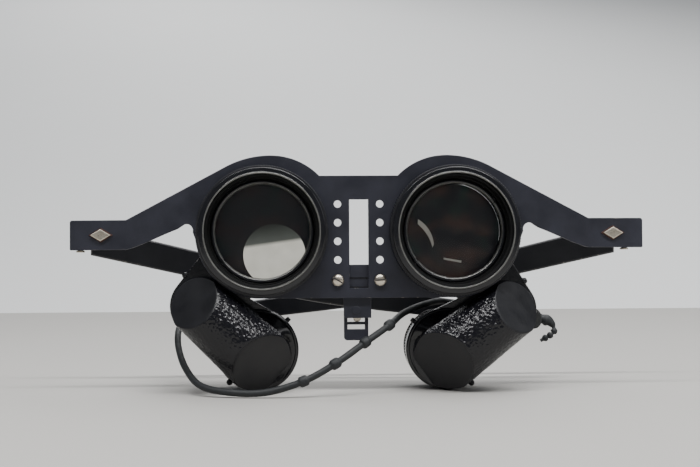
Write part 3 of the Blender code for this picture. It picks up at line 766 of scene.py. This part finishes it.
def blended(node, bm, world):
    """A run of strap in place of its CAD node, with its placing baked into the mesh."""
    temple, start, end = {
        "strap_outer": ("right_temple", world[STRAP_FREE], world[0]),
        "strap_inner": ("left_temple", world[0], world[-1]),
    }[node]
    bmesh.ops.recalc_face_normals(bm, faces=bm.faces)
    made = from_drawing(f"{node}_cord", bm, ["rubber"], RIG)
    made.data.shade_smooth()
    tuple(start)
    tuple(end)
    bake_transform(made)
    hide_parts(node)
    return made


def make_middle_bead():
    """The bead where the two runs of the strap meet."""
    last, first = Vector(STRAP_OUTER[-1]), Vector(STRAP_INNER[0])
    heading = (first - last).normalized() * 1.4
    before, after = last - heading, first + heading
    route = [before.lerp(after, i / 16) for i in range(17)]
    bm = tube(route, beads([(after - before).length / 2], body=STRAP_RADIUS - 0.3))
    piece("middle_bead", bm, ["rubber"], body="frame", sharp=SHARP_TUBE)


# ---- Spectacle front


def plate_half_outline():
    """The right half of the front's outline, from the top of the bridge round to its bottom."""
    apex_x, apex_z = HUMP_APEX
    inner = (apex_x, apex_z - HUMP_INNER)
    outer = (apex_x, apex_z - HUMP_OUTER)
    inner_start = pi - asin((BRIDGE_TOP - inner[1]) / HUMP_INNER)
    outer_end = acos((SLOPE_START - apex_x) / HUMP_OUTER)
    bottom_turn = asin(PLATE_BOTTOM / RIM_RADIUS)
    points = arc(inner, HUMP_INNER, inner_start, pi / 2, 60)
    points += arc(outer, HUMP_OUTER, pi / 2, outer_end, 30)[1:]
    points += [(LUG_ROOT, LUG_TOP)]
    points += arc((LUG_END - 0.8, LUG_TOP - 0.8), 0.8, pi / 2, 0, 6)
    points += arc((LUG_END - 0.4, LUG_BOTTOM + 0.4), 0.4, 0, -pi / 2, 5)
    points += [(LUG_ROOT, LUG_BOTTOM + 0.1), (73.2, LUG_BOTTOM + 0.4), (69.6, -4.0), (66.0, -2.4)]
    points += [(62.0, -0.65), (58.0, 1.0)]
    points += arc((55.3, 0.4), 2.1, radians(75), radians(195), 16)
    points += arc((LENS_X, 0), RIM_RADIUS, radians(-6), bottom_turn, 60)
    return points


def lug_depth(x):
    """How far back the bent lugs lie, with a small radius at the fold."""
    soft = 0.35
    return tan(LUG_BEND) * soft * log1p(exp(min(60.0, (abs(x) - LUG_ROOT) / soft)))


def make_front_plate():
    outline = both_sides(plate_half_outline())
    half, low, high = WINDOW
    window = [(-half, low), (half, low), (half, high), (-half, high)]
    holes = [window]
    for side in SIDES.values():
        holes.append(circle(side * LENS_X, 0, PLATE_HOLE, 128))
        holes.append(circle(side * ROW_X, SCREW_Z, PIN + GAP, 24))
        holes += [circle(side * ROW_X, z, 1.2, 28) for z in ROW_HOLES]
    bm = sheet_metal(outline, holes, 0.0, SHEET)
    for side in SIDES.values():
        for step in (-1.2, -0.8, -0.4, 0.0, 0.4, 0.8, 1.2):
            geometry = bm.verts[:] + bm.edges[:] + bm.faces[:]
            fold = (side * (LUG_ROOT + step), 0, 0)
            bmesh.ops.bisect_plane(bm, geom=geometry, plane_co=fold, plane_no=(1, 0, 0))
    for vert in bm.verts:
        vert.co.y += lug_depth(vert.co.x)
    stand_in("front_plate", "sheet", bm, SATIN)


def make_nose_bracket():
    near = SHEET + GAP
    bar_half, bar_top, bar_bottom = 9.6, -12.6, -19.4
    stem_half, stem_top, stem_bottom = 4.45, -10.8, -28.0
    right = [(stem_half, stem_top), (stem_half, bar_top)]
    right += arc((bar_half - 1, bar_top - 1), 1, pi / 2, 0, 6)
    right += arc((bar_half - 1, bar_bottom + 1), 1, 0, -pi / 2, 6)
    right += [(stem_half, bar_bottom), (stem_half, stem_bottom)]
    outline = [(x + STEM_SHIFT, z) for x, z in both_sides(right)]
    holes = [circle(side * ROW_X, SCREW_Z, PIN + GAP, 20) for side in SIDES.values()]
    holes.append(circle(TAB_SHIFT, RIVET_Z, PIN + GAP, 20))
    bm = sheet_metal(outline, holes, near, near + SHEET)
    stand_in("nose_bracket", "sheet", bm, SATIN)
    ribs = []
    for height in (-15.1, -18.1):
        rib = block((-3.6, near - 0.22, height - 0.2), (3.6, near + 0.2, height + 0.2))
        bmesh.ops.bevel(rib, geom=rib.edges[:], offset=0.12, segments=2, affect="EDGES")
        ribs.append(rib)
    piece("nose_bracket_ribs", merged(*ribs), ["gloss"], body="frame")
    make_nose_tab(near)

    behind = near + SHEET + GAP
    for name, side in SIDES.items():
        make_slotted_screw(name, side, behind)
        hexagon = arc((side * ROW_X, SCREW_Z), 2.3, 0, radians(300), 5)
        bore = circle(side * ROW_X, SCREW_Z, PIN + GAP, 24)
        nut = sheet_metal(hexagon, [bore], behind, behind + 1.5, edge=0.18)
        stand_in(f"bracket_nut_{name}", "hex", nut, NICKEL)


def make_nose_tab(bracket_near):
    """The slotted tab behind the bracket, its rivet, and the bright tongue behind its upper slot."""
    near = bracket_near + SHEET + GAP
    half, foot, corner = 3.95, -35.3, 1.1
    right = [(half, -21.8), *arc((half - corner, foot + corner), corner, 0, -pi / 2, 8)]
    outline = [(x + TAB_SHIFT, z) for x, z in both_sides(right)]
    low_x, high_x = TAB_SHIFT - 2.8, TAB_SHIFT + 2.8
    slots = []
    for low, high in ((-29.3, -28.1), (-31.7, -30.2)):
        slots.append([(low_x, low), (high_x, low), (high_x, high), (low_x, high)])
    slots.append(circle(TAB_SHIFT, RIVET_Z, PIN + GAP, 20))
    bm = sheet_metal(outline, slots, near, near + SHEET)
    stand_in("nose_tab", "sheet", bm, SATIN)

    front, back = bracket_near, near + SHEET
    rivet = [(0, front - 0.14), (1.35, front - 0.14), (1.5, front - 0.04), (PIN, front - 0.04)]
    rivet += [(PIN, back + GAP), (1.6, back + GAP), (1.6, back + 1.0), (0, back + 1.0)]
    bm = turned(rivet, (TAB_SHIFT, RIVET_Z), 48)
    stand_in("tab_rivet", "turned", bm, ["satin"] * 2)
    tongue = arc((TAB_SHIFT + 0.35, -28.05), 1.35, -pi, 0, 14)
    tongue += [(TAB_SHIFT + 1.7, -27.2), (TAB_SHIFT - 1.0, -27.2)]
    bm = sheet_metal(tongue, [], back + 0.05, back + 0.65, edge=0.15)
    piece("nose_tab_tongue", bm, NICKEL, body="frame")


def make_slotted_screw(name, side, behind):
    """A cheese-domed screw with a slot floored by a dark steel block, and a thread behind the sheet."""
    turns = [pi / 2 * i / 9 for i in range(9, -1, -1)]
    crown = [(1.95 * cos(a), -0.45 - 1.1 * sin(a)) for a in turns]
    crown[0] = (0, -1.55)
    profile = [*crown, (1.95, -GAP), (PIN, -GAP), (PIN, behind + 2.4), (0, behind + 2.4)]
    bm = turned(profile, (0, 0), 64, fillet=0.05)
    placing = shifted(RIG, side * ROW_X, 0, SCREW_Z)
    placing = placing @ Matrix.Rotation(radians(SCREW_SLOT[name]), 4, "Y")
    made = stand_in(f"bracket_screw_{name}", "turned", bm, NICKEL, placing)
    cut(made, block((-3, -3, -0.22), (3, -0.85, 0.22)))
    # The slot's floor is a dark steel block, darker than the nickel head.
    dark = block((-1.7, -0.86, -0.21), (1.7, -0.72, 0.21))
    piece(f"bracket_screw_{name}_slot", dark, ["steel"], placing, "frame")


def make_hinge(name, side):
    """A hinge bracket behind a lug, with its two barrels and pin, and the rivet that holds it."""
    start_x, bend_x = 77.4, 91.4
    front = [(x, SHEET + GAP + (x - LUG_ROOT) * tan(LUG_BEND)) for x in (start_x, bend_x)]
    elbow = front[1][1]
    outer = [(bend_x + 1.0, elbow + 0.9), (HINGE.x + 1.6, HINGE.y - 2.2), (HINGE.x + 1.6, HINGE.y)]
    inner = [(HINGE.x + 0.4, HINGE.y), (HINGE.x + 0.4, HINGE.y - 2.2), (bend_x - 0.4, elbow + SHEET)]
    inner.append((start_x, front[0][1] + SHEET))
    low, high = -5.2, 3.4
    gap_low, gap_high = -2.6, 0.8
    centre = (side * HINGE.x, HINGE.y)
    leaf = sheet_metal(mirrored(front + outer + inner, side), [], low, high, "Z")
    made = stand_in(f"hinge_bracket_{name}", "leaf", leaf, SATIN)
    cut(made, block((centre[0] - 4, HINGE.y - 3.3, gap_low), (centre[0] + 4, HINGE.y + 4, gap_high)))
    barrels = [hinge_barrel(*ends, centre) for ends in ((low, gap_low), (gap_high, high))]
    piece(f"hinge_bracket_{name}_knuckles", merged(*barrels), SATIN, body="frame")

    pin = [(0, low - 0.9), (1.5, low - 0.9), (1.5, low - GAP), (PIN, low - GAP)]
    pin += [(PIN, high + 0.5), (0, high + 0.5)]
    stand_in(f"hinge_pin_{name}", "turned", turned(pin, centre, 40, "Z", 0.2), NICKEL)

    placing = shifted(RIG, side * SHIELD[0], lug_depth(SHIELD[0]), SHIELD[1])
    placing = placing @ Matrix.Rotation(side * LUG_BEND, 4, "Z")
    head = sheet_metal(diamond(3.4, 2.0), [], -0.92, -GAP + 0.1, edge=0.3)
    shank = [(0, -0.5), (PIN, -0.5), (PIN, 3.0), (1.9, 3.0), (1.9, 3.7), (0, 3.7)]
    bm = merged(head, turned(shank, segments=36))
    stand_in(f"shield_rivet_{name}", "head", bm, NICKEL, placing)
    bm = sheet_metal(diamond(3.95, 2.38), [], -0.24, 0.1, edge=0.08)
    piece(f"shield_rivet_{name}_seat", bm, ["primer"] * 2, placing, "frame")


def hinge_barrel(bottom, top, centre=(0, 0)):
    bore = PIN + GAP
    ring = [(bore, bottom), (KNUCKLE, bottom), (KNUCKLE, top), (bore, top)]
    return turned(ring, centre, 48, "Z", 0.15)


def diamond(half_width, half_height):
    return [(half_width, 0), (0, half_height), (-half_width, 0), (0, -half_height)]


# ---- Temples


def temple_low(reach):
    """Height of a temple's lower edge at a distance from its hinge: a slope that flattens."""
    bend, soft = 84.0, 9.0
    steep, flat = -0.222, -0.108
    return -6.35 + steep * reach + (flat - steep) * soft * log1p(exp((reach - bend) / soft))


def temple_width(reach):
    return 10.2 - 4.5 * (reach / TEMPLE_END) ** 1.25


def temple_middle(reach):
    return temple_low(reach) + temple_width(reach) / 2


def temple_place(name):
    """Where a temple's drawing lies: reach along X from the hinge, heights along Z, turned as at rest."""
    side = SIDES[name]
    hinge = joint_place(f"{name}_temple_hinge")
    low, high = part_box(f"{name}_temple_tip")
    reach = (low + high) / 2 - hinge
    away = atan2(reach.y, -side * reach.x)
    away -= asin((TEMPLE_NEAR + TEMPLE_FAR) / 2 * MM / hypot(reach.x, reach.y))
    flip = Matrix.Scale(-side, 4, (1, 0, 0))
    return Matrix.Translation(hinge) @ Matrix.Rotation(-side * away, 4, "Z") @ flip


def make_temple(name):
    placing = temple_place(name)
    root = 3.3
    reaches = [root + (TEMPLE_END - root) * i / 90 for i in range(91)]
    lower = [(r, temple_low(r)) for r in reaches]
    upper = [(r, temple_low(r) + temple_width(r)) for r in reversed(reaches)]
    middle = temple_middle(EYELET_AT)
    hole = circle(EYELET_AT, middle, 1.9, 32)
    strip = sheet_metal(lower + upper, [hole], TEMPLE_NEAR, TEMPLE_FAR, edge=0.6)
    tongue = [(0.4, -2.2), (5.0, -2.2), (5.0, 0.4), (0.4, 0.4)]
    tongue = sheet_metal(tongue, [], TEMPLE_NEAR + 0.1, TEMPLE_FAR - 0.1)
    bm = merged(strip, tongue, hinge_barrel(-2.3, 0.5))
    look = ["temple", "temple_edge"]
    temple_piece(f"{name}_temple", "strip", bm, look, placing)

    start, end, rise = EYELET_AT - 8.0, EYELET_AT + 7.6, 3.75
    slope = (temple_low(end) - temple_low(start)) / (end - start)
    half = [(start, -rise + 0.9), *arc((start + 1.2, -rise + 1.2), 1.2, pi * 1.1, pi * 1.5, 5)]
    half += arc((end - 3.2, -rise + 3.2), 3.2, -pi / 2, -0.1, 12)
    outline = half + [(p, -q) for p, q in reversed(half)]
    outline = [(p, middle + q + (p - EYELET_AT) * slope) for p, q in outline]
    tip = sheet_metal(outline, [hole], TEMPLE_NEAR - 1.1, TEMPLE_FAR + 1.1, edge=0.7)
    temple_piece(f"{name}_temple_tip", "sleeve", tip, ["tip_rubber"] * 2, placing)


def temple_piece(node, ending, bm, looks, placing):
    """A temple's drawing is laid out in world axes first, because the left and right ones mirror."""
    scaled = placing @ Matrix.Scale(MM, 4)
    bmesh.ops.transform(bm, matrix=scaled, verts=bm.verts)
    bmesh.ops.scale(bm, vec=(1 / MM,) * 3, verts=bm.verts)
    stand_in(node, ending, bm, looks, Matrix.Identity(4))


# ---- Telescopes


def telescope_place(name):
    """The drawing of a telescope hangs from its objective axis, turned as at rest."""
    swivel, focus = joint_place(f"{name}_swivel"), joint_place(f"{name}_focus_turn")
    drop = focus - swivel
    turn = atan2(-drop.x, -drop.z)
    return Matrix.Translation(swivel) @ Matrix.Rotation(turn, 4, "Y")


def thread(radius, start, end, pitch, depth):
    """A bore's profile with a screw thread's ridges, as (radius, along) from start to end."""
    count = round(abs(end - start) / pitch)
    step = (end - start) / count
    points = []
    for i in range(count):
        points += [(radius, start + step * i), (radius + depth, start + step * (i + 0.5))]
    return [*points, (radius, end)]


def make_objective(name, placing):
    clamp = [(19.0, -3.3), (20.95, -3.3), (21.25, -3.05), (21.25, -0.7), (20.9, -GAP), (19.0, -GAP)]
    bm = turned(clamp, segments=900, fillet=0.08, shape=knurled(150, 0.26, 21.0))
    stand_in(f"{name}_clamp_ring", "knurled", bm, KNURL, placing)

    ring = [(17.4, -4.1), (17.55, -4.3), (18.0, -4.4), (18.15, -6.25), (18.3, -6.55), (18.65, -6.6)]
    ring += [(18.9, -6.35), (20.05, -6.3), (20.3, -6.1), (20.3, -4.9), (20.05, -4.7), (20.3, -4.5)]
    ring += [(20.3, -3.7), (18.6, -3.7), (18.6, -0.6), (17.4, -0.6)]
    ring += thread(17.35, -0.8, -3.0, 1.1, 0.07)
    bm = turned(ring, segments=192, fillet=0.1)
    bore, lip_radius, bore_front, lip_front = 18.16, 18.7, -6.2, -6.48
    for face, reach, depth in turned_faces(bm):
        in_bore = depth > bore_front and reach < bore
        face.material_index = int(in_bore) + 2 * int(depth < lip_front and reach < lip_radius)
    stand_in(f"{name}_objective_ring", "turned", bm, ["gloss", "inner", "lip"], placing)

    barrel = [(16.9, 0.0), (18.6, 0.0), (18.6, 1.5), (20.9, 1.5), (20.9, 3.0), (18.6, 3.0)]
    barrel += [(18.6, 4.4), (18.2, 4.7), (18.2, 5.2), (18.6, 5.5), (18.6, SHELF_FRONT - GAP)]
    barrel += [(15.6, SHELF_FRONT - GAP), (15.6, 6.6), (16.9, 6.6)]
    bm = turned(barrel, segments=160)
    stand_in(f"{name}_objective_barrel", "turned", bm, ["inner"] * 2, placing)

    def spanner_slots(radius, along, angle):
        near = min(abs(remainder(angle - radians(slot), 2 * pi)) for slot in (40, 220))
        return radius, along + (0.7 if near < 0.05 and along < 1.4 and radius < 16.5 else 0)

    retainer = [(15.15, 0.85), (15.55, 0.3), (16.0, 0.15), (16.6, 0.3), (16.6, 2.1), (15.15, 2.1)]
    bm = turned(retainer, segments=360, fillet=0.16, shape=spanner_slots)
    for face, reach, depth in turned_faces(bm):
        face.material_index = int(15.1 < reach < 15.6 and depth < 1.2)
    stand_in(f"{name}_retaining_ring", "turned", bm, ["gloss", "lip"], placing)

    dome = [(16.5 * i / 24, 2.7 + 1.5 * (i / 24) ** 2) for i in range(25)]
    bm = turned([*dome, (16.5, 6.0), (0, 6.0)], segments=128, fillet=0.0)
    stand_in(f"{name}_objective_lens", "ground", bm, ["glass"] * 2, placing)
    make_painted_light(name, placing)


def turned_faces(bm):
    """Each face of a turned solid, with its middle's distance from the axis and along it."""
    for face in bm.faces:
        middle = face.calc_center_median()
        yield face, hypot(middle.x, middle.z), middle.y


def make_painted_light(name, placing):
    """Inside the barrel: the prism's face, glowing with painted reflections, and glowing shapes of painted light
    for what shows through it.
    """
    near, far, body = 7.2, 7.4, f"{name}_monocular"
    face = [(0, 7.5), (15.5, 7.5), (15.5, 7.8), (0, 7.8)]
    bm = turned(face, segments=96, fillet=0)
    piece(f"{name}_prism_face", bm, [f"{name}_depths"] * 2, placing, body)
    # The left shows a glowing disc of painted through-light; the right shows only a crescent sliver of it and a
    # thin bar of painted reflection.
    if name == "left":
        outlines = [clipped_circle((4.06, -7.3), 10.1, 15.1)]
    else:
        crescent = arc((-16.3, -6.0), 10.6, radians(62), radians(8), 20)
        crescent += arc((-19.5, -9.4), 13.8, radians(16), radians(54), 20)
        outlines = [crescent, [(-2.4, -9.4), (3.4, -10.2), (3.4, -9.5), (-2.4, -8.8)]]
    bm = merged(*(sheet_metal(outline, [], near, far, edge=0.05) for outline in outlines))
    piece(f"{name}_painted_light_window", bm, [f"{name}_field"] * 2, placing, body)


def clipped_circle(centre, radius, limit):
    """A circle's outline, held inside a larger circle about the axis."""
    points = []
    for x, z in circle(*centre, radius, 120):
        share = min(1.0, limit / hypot(x, z))
        points.append((x * share, z * share))
    return points


def soft_min(first, second, soft):
    """The lower of two heights, with a rounded crossing."""
    share = clamped(0.5 + 0.5 * (second - first) / soft)
    return second + (first - second) * share - soft * share * (1 - share)


def mitre(depth, radius, run):
    """Height of a cover's slanted end face at a distance inwards of its end circle's centre."""
    return depth - (0.5 * radius - run) / MITRE_SLOPE


def cover_section(radii, depth, length, run, turn):
    """A cover's radius, height and share of crinkle, at a distance along it and a turn round it.

    The ends are smooth. The crinkle starts past the ends' edges, and fades on one side.
    """
    radius = radii[0] + (radii[1] - radii[0]) * clamped(run / length)
    arch = depth - radius + radius * cos(turn)
    ends = min(mitre(depth, radii[0], run), mitre(depth, radii[1], length - run))
    height = max(COVER_LEAST, soft_min(arch, ends, COVER_EDGE))
    past_edge = clamped((ends - arch - 0.15) / 0.9)
    return radius, height, past_edge * (1 - 0.6 * clamped(sin(turn) * 2.2))


def prism_cover(start, end, radii, depth, base, towards, side, rows=150, columns=112):
    """A prism cover: a round-topped tube with slanted ends, standing on its shelf.

    The two end faces take the first material. The tube takes the second, and its relief.
    """
    line = end - start
    length, along = line.length, line.normalized()
    across = Vector((-along.y, along.x))
    bm = bmesh.new()
    grid, crinkle = [], []
    for i in range(rows + 1):
        share = 0.45 * (0.5 - 0.5 * cos(pi * i / rows)) + 0.55 * i / rows
        loop, shares = [], []
        for j in range(columns + 1):
            turn = pi * (j / columns - 0.5)
            low, high = -radii[0] * cos(turn), length + radii[1] * cos(turn)
            run = low + (high - low) * share
            radius, height, crinkled = cover_section(radii, depth, length, run, turn)
            spot = start + along * run + across * (radius * sin(turn))
            loop.append(bm.verts.new((side * spot.x, base + towards * height, spot.y)))
            shares.append(crinkled)
        grid.append(loop)
        crinkle.append(shares)
    for i in range(rows):
        for j in range(columns):
            corners = (grid[i][j], grid[i + 1][j], grid[i + 1][j + 1], grid[i][j + 1])
            bm.faces.new(corners).material_index = int(crinkle[i][j] > 0.03)
    rim = [row[0] for row in grid] + grid[rows][1:]
    rim += [row[columns] for row in grid[rows - 1 :: -1]] + grid[0][columns - 1 : 0 : -1]
    skirt_walls(bm, rim, base)
    relief(bm, grid, crinkle)
    bmesh.ops.remove_doubles(bm, verts=bm.verts, dist=0.0005)
    return bm


def skirt_walls(bm, rim, base):
    """Upright walls from a cover's rim to its foot, and a closing face underneath."""
    rows = [rim]
    for share in (0.34, 0.67, 1.0):
        spots = [(v.co.x, v.co.y + (base - v.co.y) * share, v.co.z) for v in rim]
        rows.append([bm.verts.new(spot) for spot in spots])
    bridge(bm, rows, 1)
    bm.faces.new(rows[-1]).material_index = 1


def relief(bm, grid, crinkle):
    """Raises the crinkle's folds on the tube's faces."""
    bm.normal_update()
    moves = []
    for loop, shares in zip(grid, crinkle):
        for vert, share in zip(loop, shares):
            if share <= 0:
                continue
            place = vert.co * 0.85
            near = noise.voronoi(place)[0]
            fold = min(1.0, (near[1] - near[0]) * 1.6)
            swell = noise.fractal(place * 1.7, 0.8, 2.0, 3)
            moves.append((vert, vert.normal * share * (0.34 * fold + 0.14 * swell - 0.22)))
    for vert, move in moves:
        vert.co += move


def make_covers(name, side, placing):
    cases = {
        "front": (CORNER, FRONT_END, FRONT_RADII, FRONT_DEPTH, SHELF_FRONT - GAP, -1),
        "rear": (Vector((0, 0)), CORNER, REAR_RADII, REAR_DEPTH, SHELF_BACK + GAP, 1),
    }
    for face, (start, end, radii, depth, base, towards) in cases.items():
        bm = prism_cover(start, end, radii, depth, base, towards, side)
        look = ["cover_face", "crinkle"]
        stand_in(f"{name}_{face}_cover", "shell", bm, look, placing, 50)
        outline = mirrored(hull_outline(start, radii[0] + 0.35, end, radii[1] + 0.35), side)
        low, high = sorted((base, base + towards * 0.75))
        foot = sheet_metal(outline, [], low, high, edge=0.2)
        foot_name = f"{name}_{face}_cover_foot"
        piece(foot_name, foot, ["gloss"] * 2, placing, f"{name}_monocular")
        materials = frame["nodes"][f"{name}_{face}_prism"].data.materials
        materials.clear()
        materials.append(LOOKS["prism_glass"])


def make_shelf(name, side, placing):
    """The prism shelf with its eyepiece flange, and the screws in its ears."""
    first = hull_outline(Vector((0, 0)), REAR_RADII[0] + 0.5, CORNER, REAR_RADII[1] + 0.7)
    second = hull_outline(CORNER, FRONT_RADII[0] + 0.4, EYEPIECE, FLANGE_RADIUS - 0.05)
    corner = [(16.5, -12.1), (22.1, -12.1), (24.3, -16.7), (22.0, -20.0), (16.5, -18.0)]
    first, second, corner = (mirrored(outline, side) for outline in (first, second, corner))
    sheets = [(first, 0, 0.25), (second, 0.2, 0.25), (corner, 0.15, 0.2)]
    sheets += [(circle(side * x, z, 1.05, 32), 0.3, 0.2) for x, z in SCREW_EARS.values()]
    parts = []
    for outline, inset, edge in sheets:
        parts.append(sheet_metal(outline, [], SHELF_FRONT + inset, SHELF_BACK - inset, edge=edge))
    stand_in(f"{name}_prism_shelf", "plate", merged(*parts), GLOSS, placing)

    centre = (side * EYEPIECE.x, EYEPIECE.y)
    cover_way = atan2(FRONT_END.y - CORNER.y, side * (FRONT_END.x - CORNER.x))

    def dished(radius, along, angle):
        """The dish rises towards the middle, except where the front cover's end lies over it."""
        off = abs(remainder(angle - cover_way, 2 * pi))
        return radius, along + max(0.0, 7.95 - along) * (1 - clamped((off - 0.95) / 0.45))

    rim = [(8.0, 5.2), (9.2, 5.75), (12.1, 7.85), (12.35, 8.15), (12.5, 7.7), (12.8, 7.6)]
    rim += [(FLANGE_RADIUS, 8.25), (FLANGE_RADIUS, 9.6), (13.15, 9.8), (FLANGE_RADIUS, 10.0)]
    rim += [(FLANGE_RADIUS, SHELF_BACK), (8.0, SHELF_BACK)]
    bm = turned(rim, centre, 192, shape=dished)
    flange = f"{name}_eyepiece_flange"
    piece(flange, bm, ["gloss"] * 2, placing, f"{name}_monocular")

    top = SHELF_FRONT + 0.3
    screw = [(0, top - 0.9), (0.5, top - 0.85), (0.7, top - 0.7), (0.7, top - GAP), (0.5, top - GAP)]
    screw += [(0.5, SHELF_BACK - 0.2), (0, SHELF_BACK - 0.2)]
    for place, (x, z) in SCREW_EARS.items():
        bm, spot = turned(screw, segments=40), shifted(placing, side * x, 0, z)
        made = stand_in(f"{name}_cover_screw_{place}", "turned", bm, KNURL, spot)
        cut(made, block((-2, top - 2, -0.13), (2, top - 0.65, 0.13)))


def make_eyepiece(name, side, placing):
    spot = shifted(placing, side * EYEPIECE.x, 0, EYEPIECE.y)
    base = SHELF_BACK + GAP
    sleeve = [(8.7, base), (11.4, base), (11.4, base + 1.0), (10.1, base + 1.0)]
    sleeve += [*reversed(thread(9.85, 20.0, base + 1.6, 0.6, 0.25)), (9.9, 20.2), (8.7, 20.2)]
    stand_in(f"{name}_eyepiece_sleeve", "turned", turned(sleeve), GLOSS, spot)

    low, high = 13.2, 20.0
    rim = [(10.4, low), (12.6, low), (13.0, low + 0.4), (13.0, low + 1.0), (13.2, low + 1.2)]
    rim += [(13.2, high - 1.2), (13.0, high - 1.0), (13.0, high - 0.4), (12.6, high), (10.4, high)]
    bm = turned(rim, segments=504, shape=knurled(84, 0.35, 13.1))
    stand_in(f"{name}_focus_ring", "knurled", bm, KNURL, spot)
    pin = [(0, 12.6), (0.8, 12.6), (0.8, 14.25), (0.65, 14.4), (0, 14.4)]
    bm = turned(pin, segments=32, axis="Z")
    turn = Matrix.Rotation(pi / 2 - radians(SET_PIN_TURN[name]), 3, "Y")
    bmesh.ops.rotate(bm, verts=bm.verts, matrix=turn)
    bmesh.ops.translate(bm, verts=bm.verts, vec=(0, (low + high) / 2, 0))
    stand_in(f"{name}_set_pin", "turned", bm, KNURL, spot)

    ocular = [(7.0, 14.2), (8.4, 14.2), (8.4, 21.6), (11.4, 21.6), (11.4, 22.6), (11.15, 22.9)]
    ocular += [(11.4, 23.2), (11.4, 24.8), (7.6, 24.8), (7.6, 22.2), (7.0, 22.2)]
    stand_in(f"{name}_ocular_tube", "turned", turned(ocular), GLOSS, spot)
    dome = [(7.3 * i / 16, 24.3 - 0.7 * (i / 16) ** 2) for i in range(17)]
    bm = turned([(0, 22.5), (7.3, 22.5), *reversed(dome)], segments=96, fillet=0)
    stand_in(f"{name}_eye_lens", "ground", bm, ["glass"] * 2, spot)
    cup = [(7.6, 25.1), (12.2, 25.1), (12.7, 25.4), (12.9, 25.9), (12.6, 26.5), (11.8, 26.8)]
    cup += [(10.4, 26.7), (9.2, 26.2), (8.2, 25.9), (7.6, 25.6)]
    stand_in(f"{name}_eyecup", "turned", turned(cup, fillet=0.3), ["bakelite"] * 2, spot)


# ---- Everything

make_camera()
make_stage()
LOOKS = make_looks()
make_strap()
make_front_plate()
make_nose_bracket()
for name, side in SIDES.items():
    make_hinge(name, side)
    make_temple(name)
    placing = telescope_place(name)
    make_objective(name, placing)
    make_covers(name, side, placing)
    make_shelf(name, side, placing)
    make_eyepiece(name, side, placing)
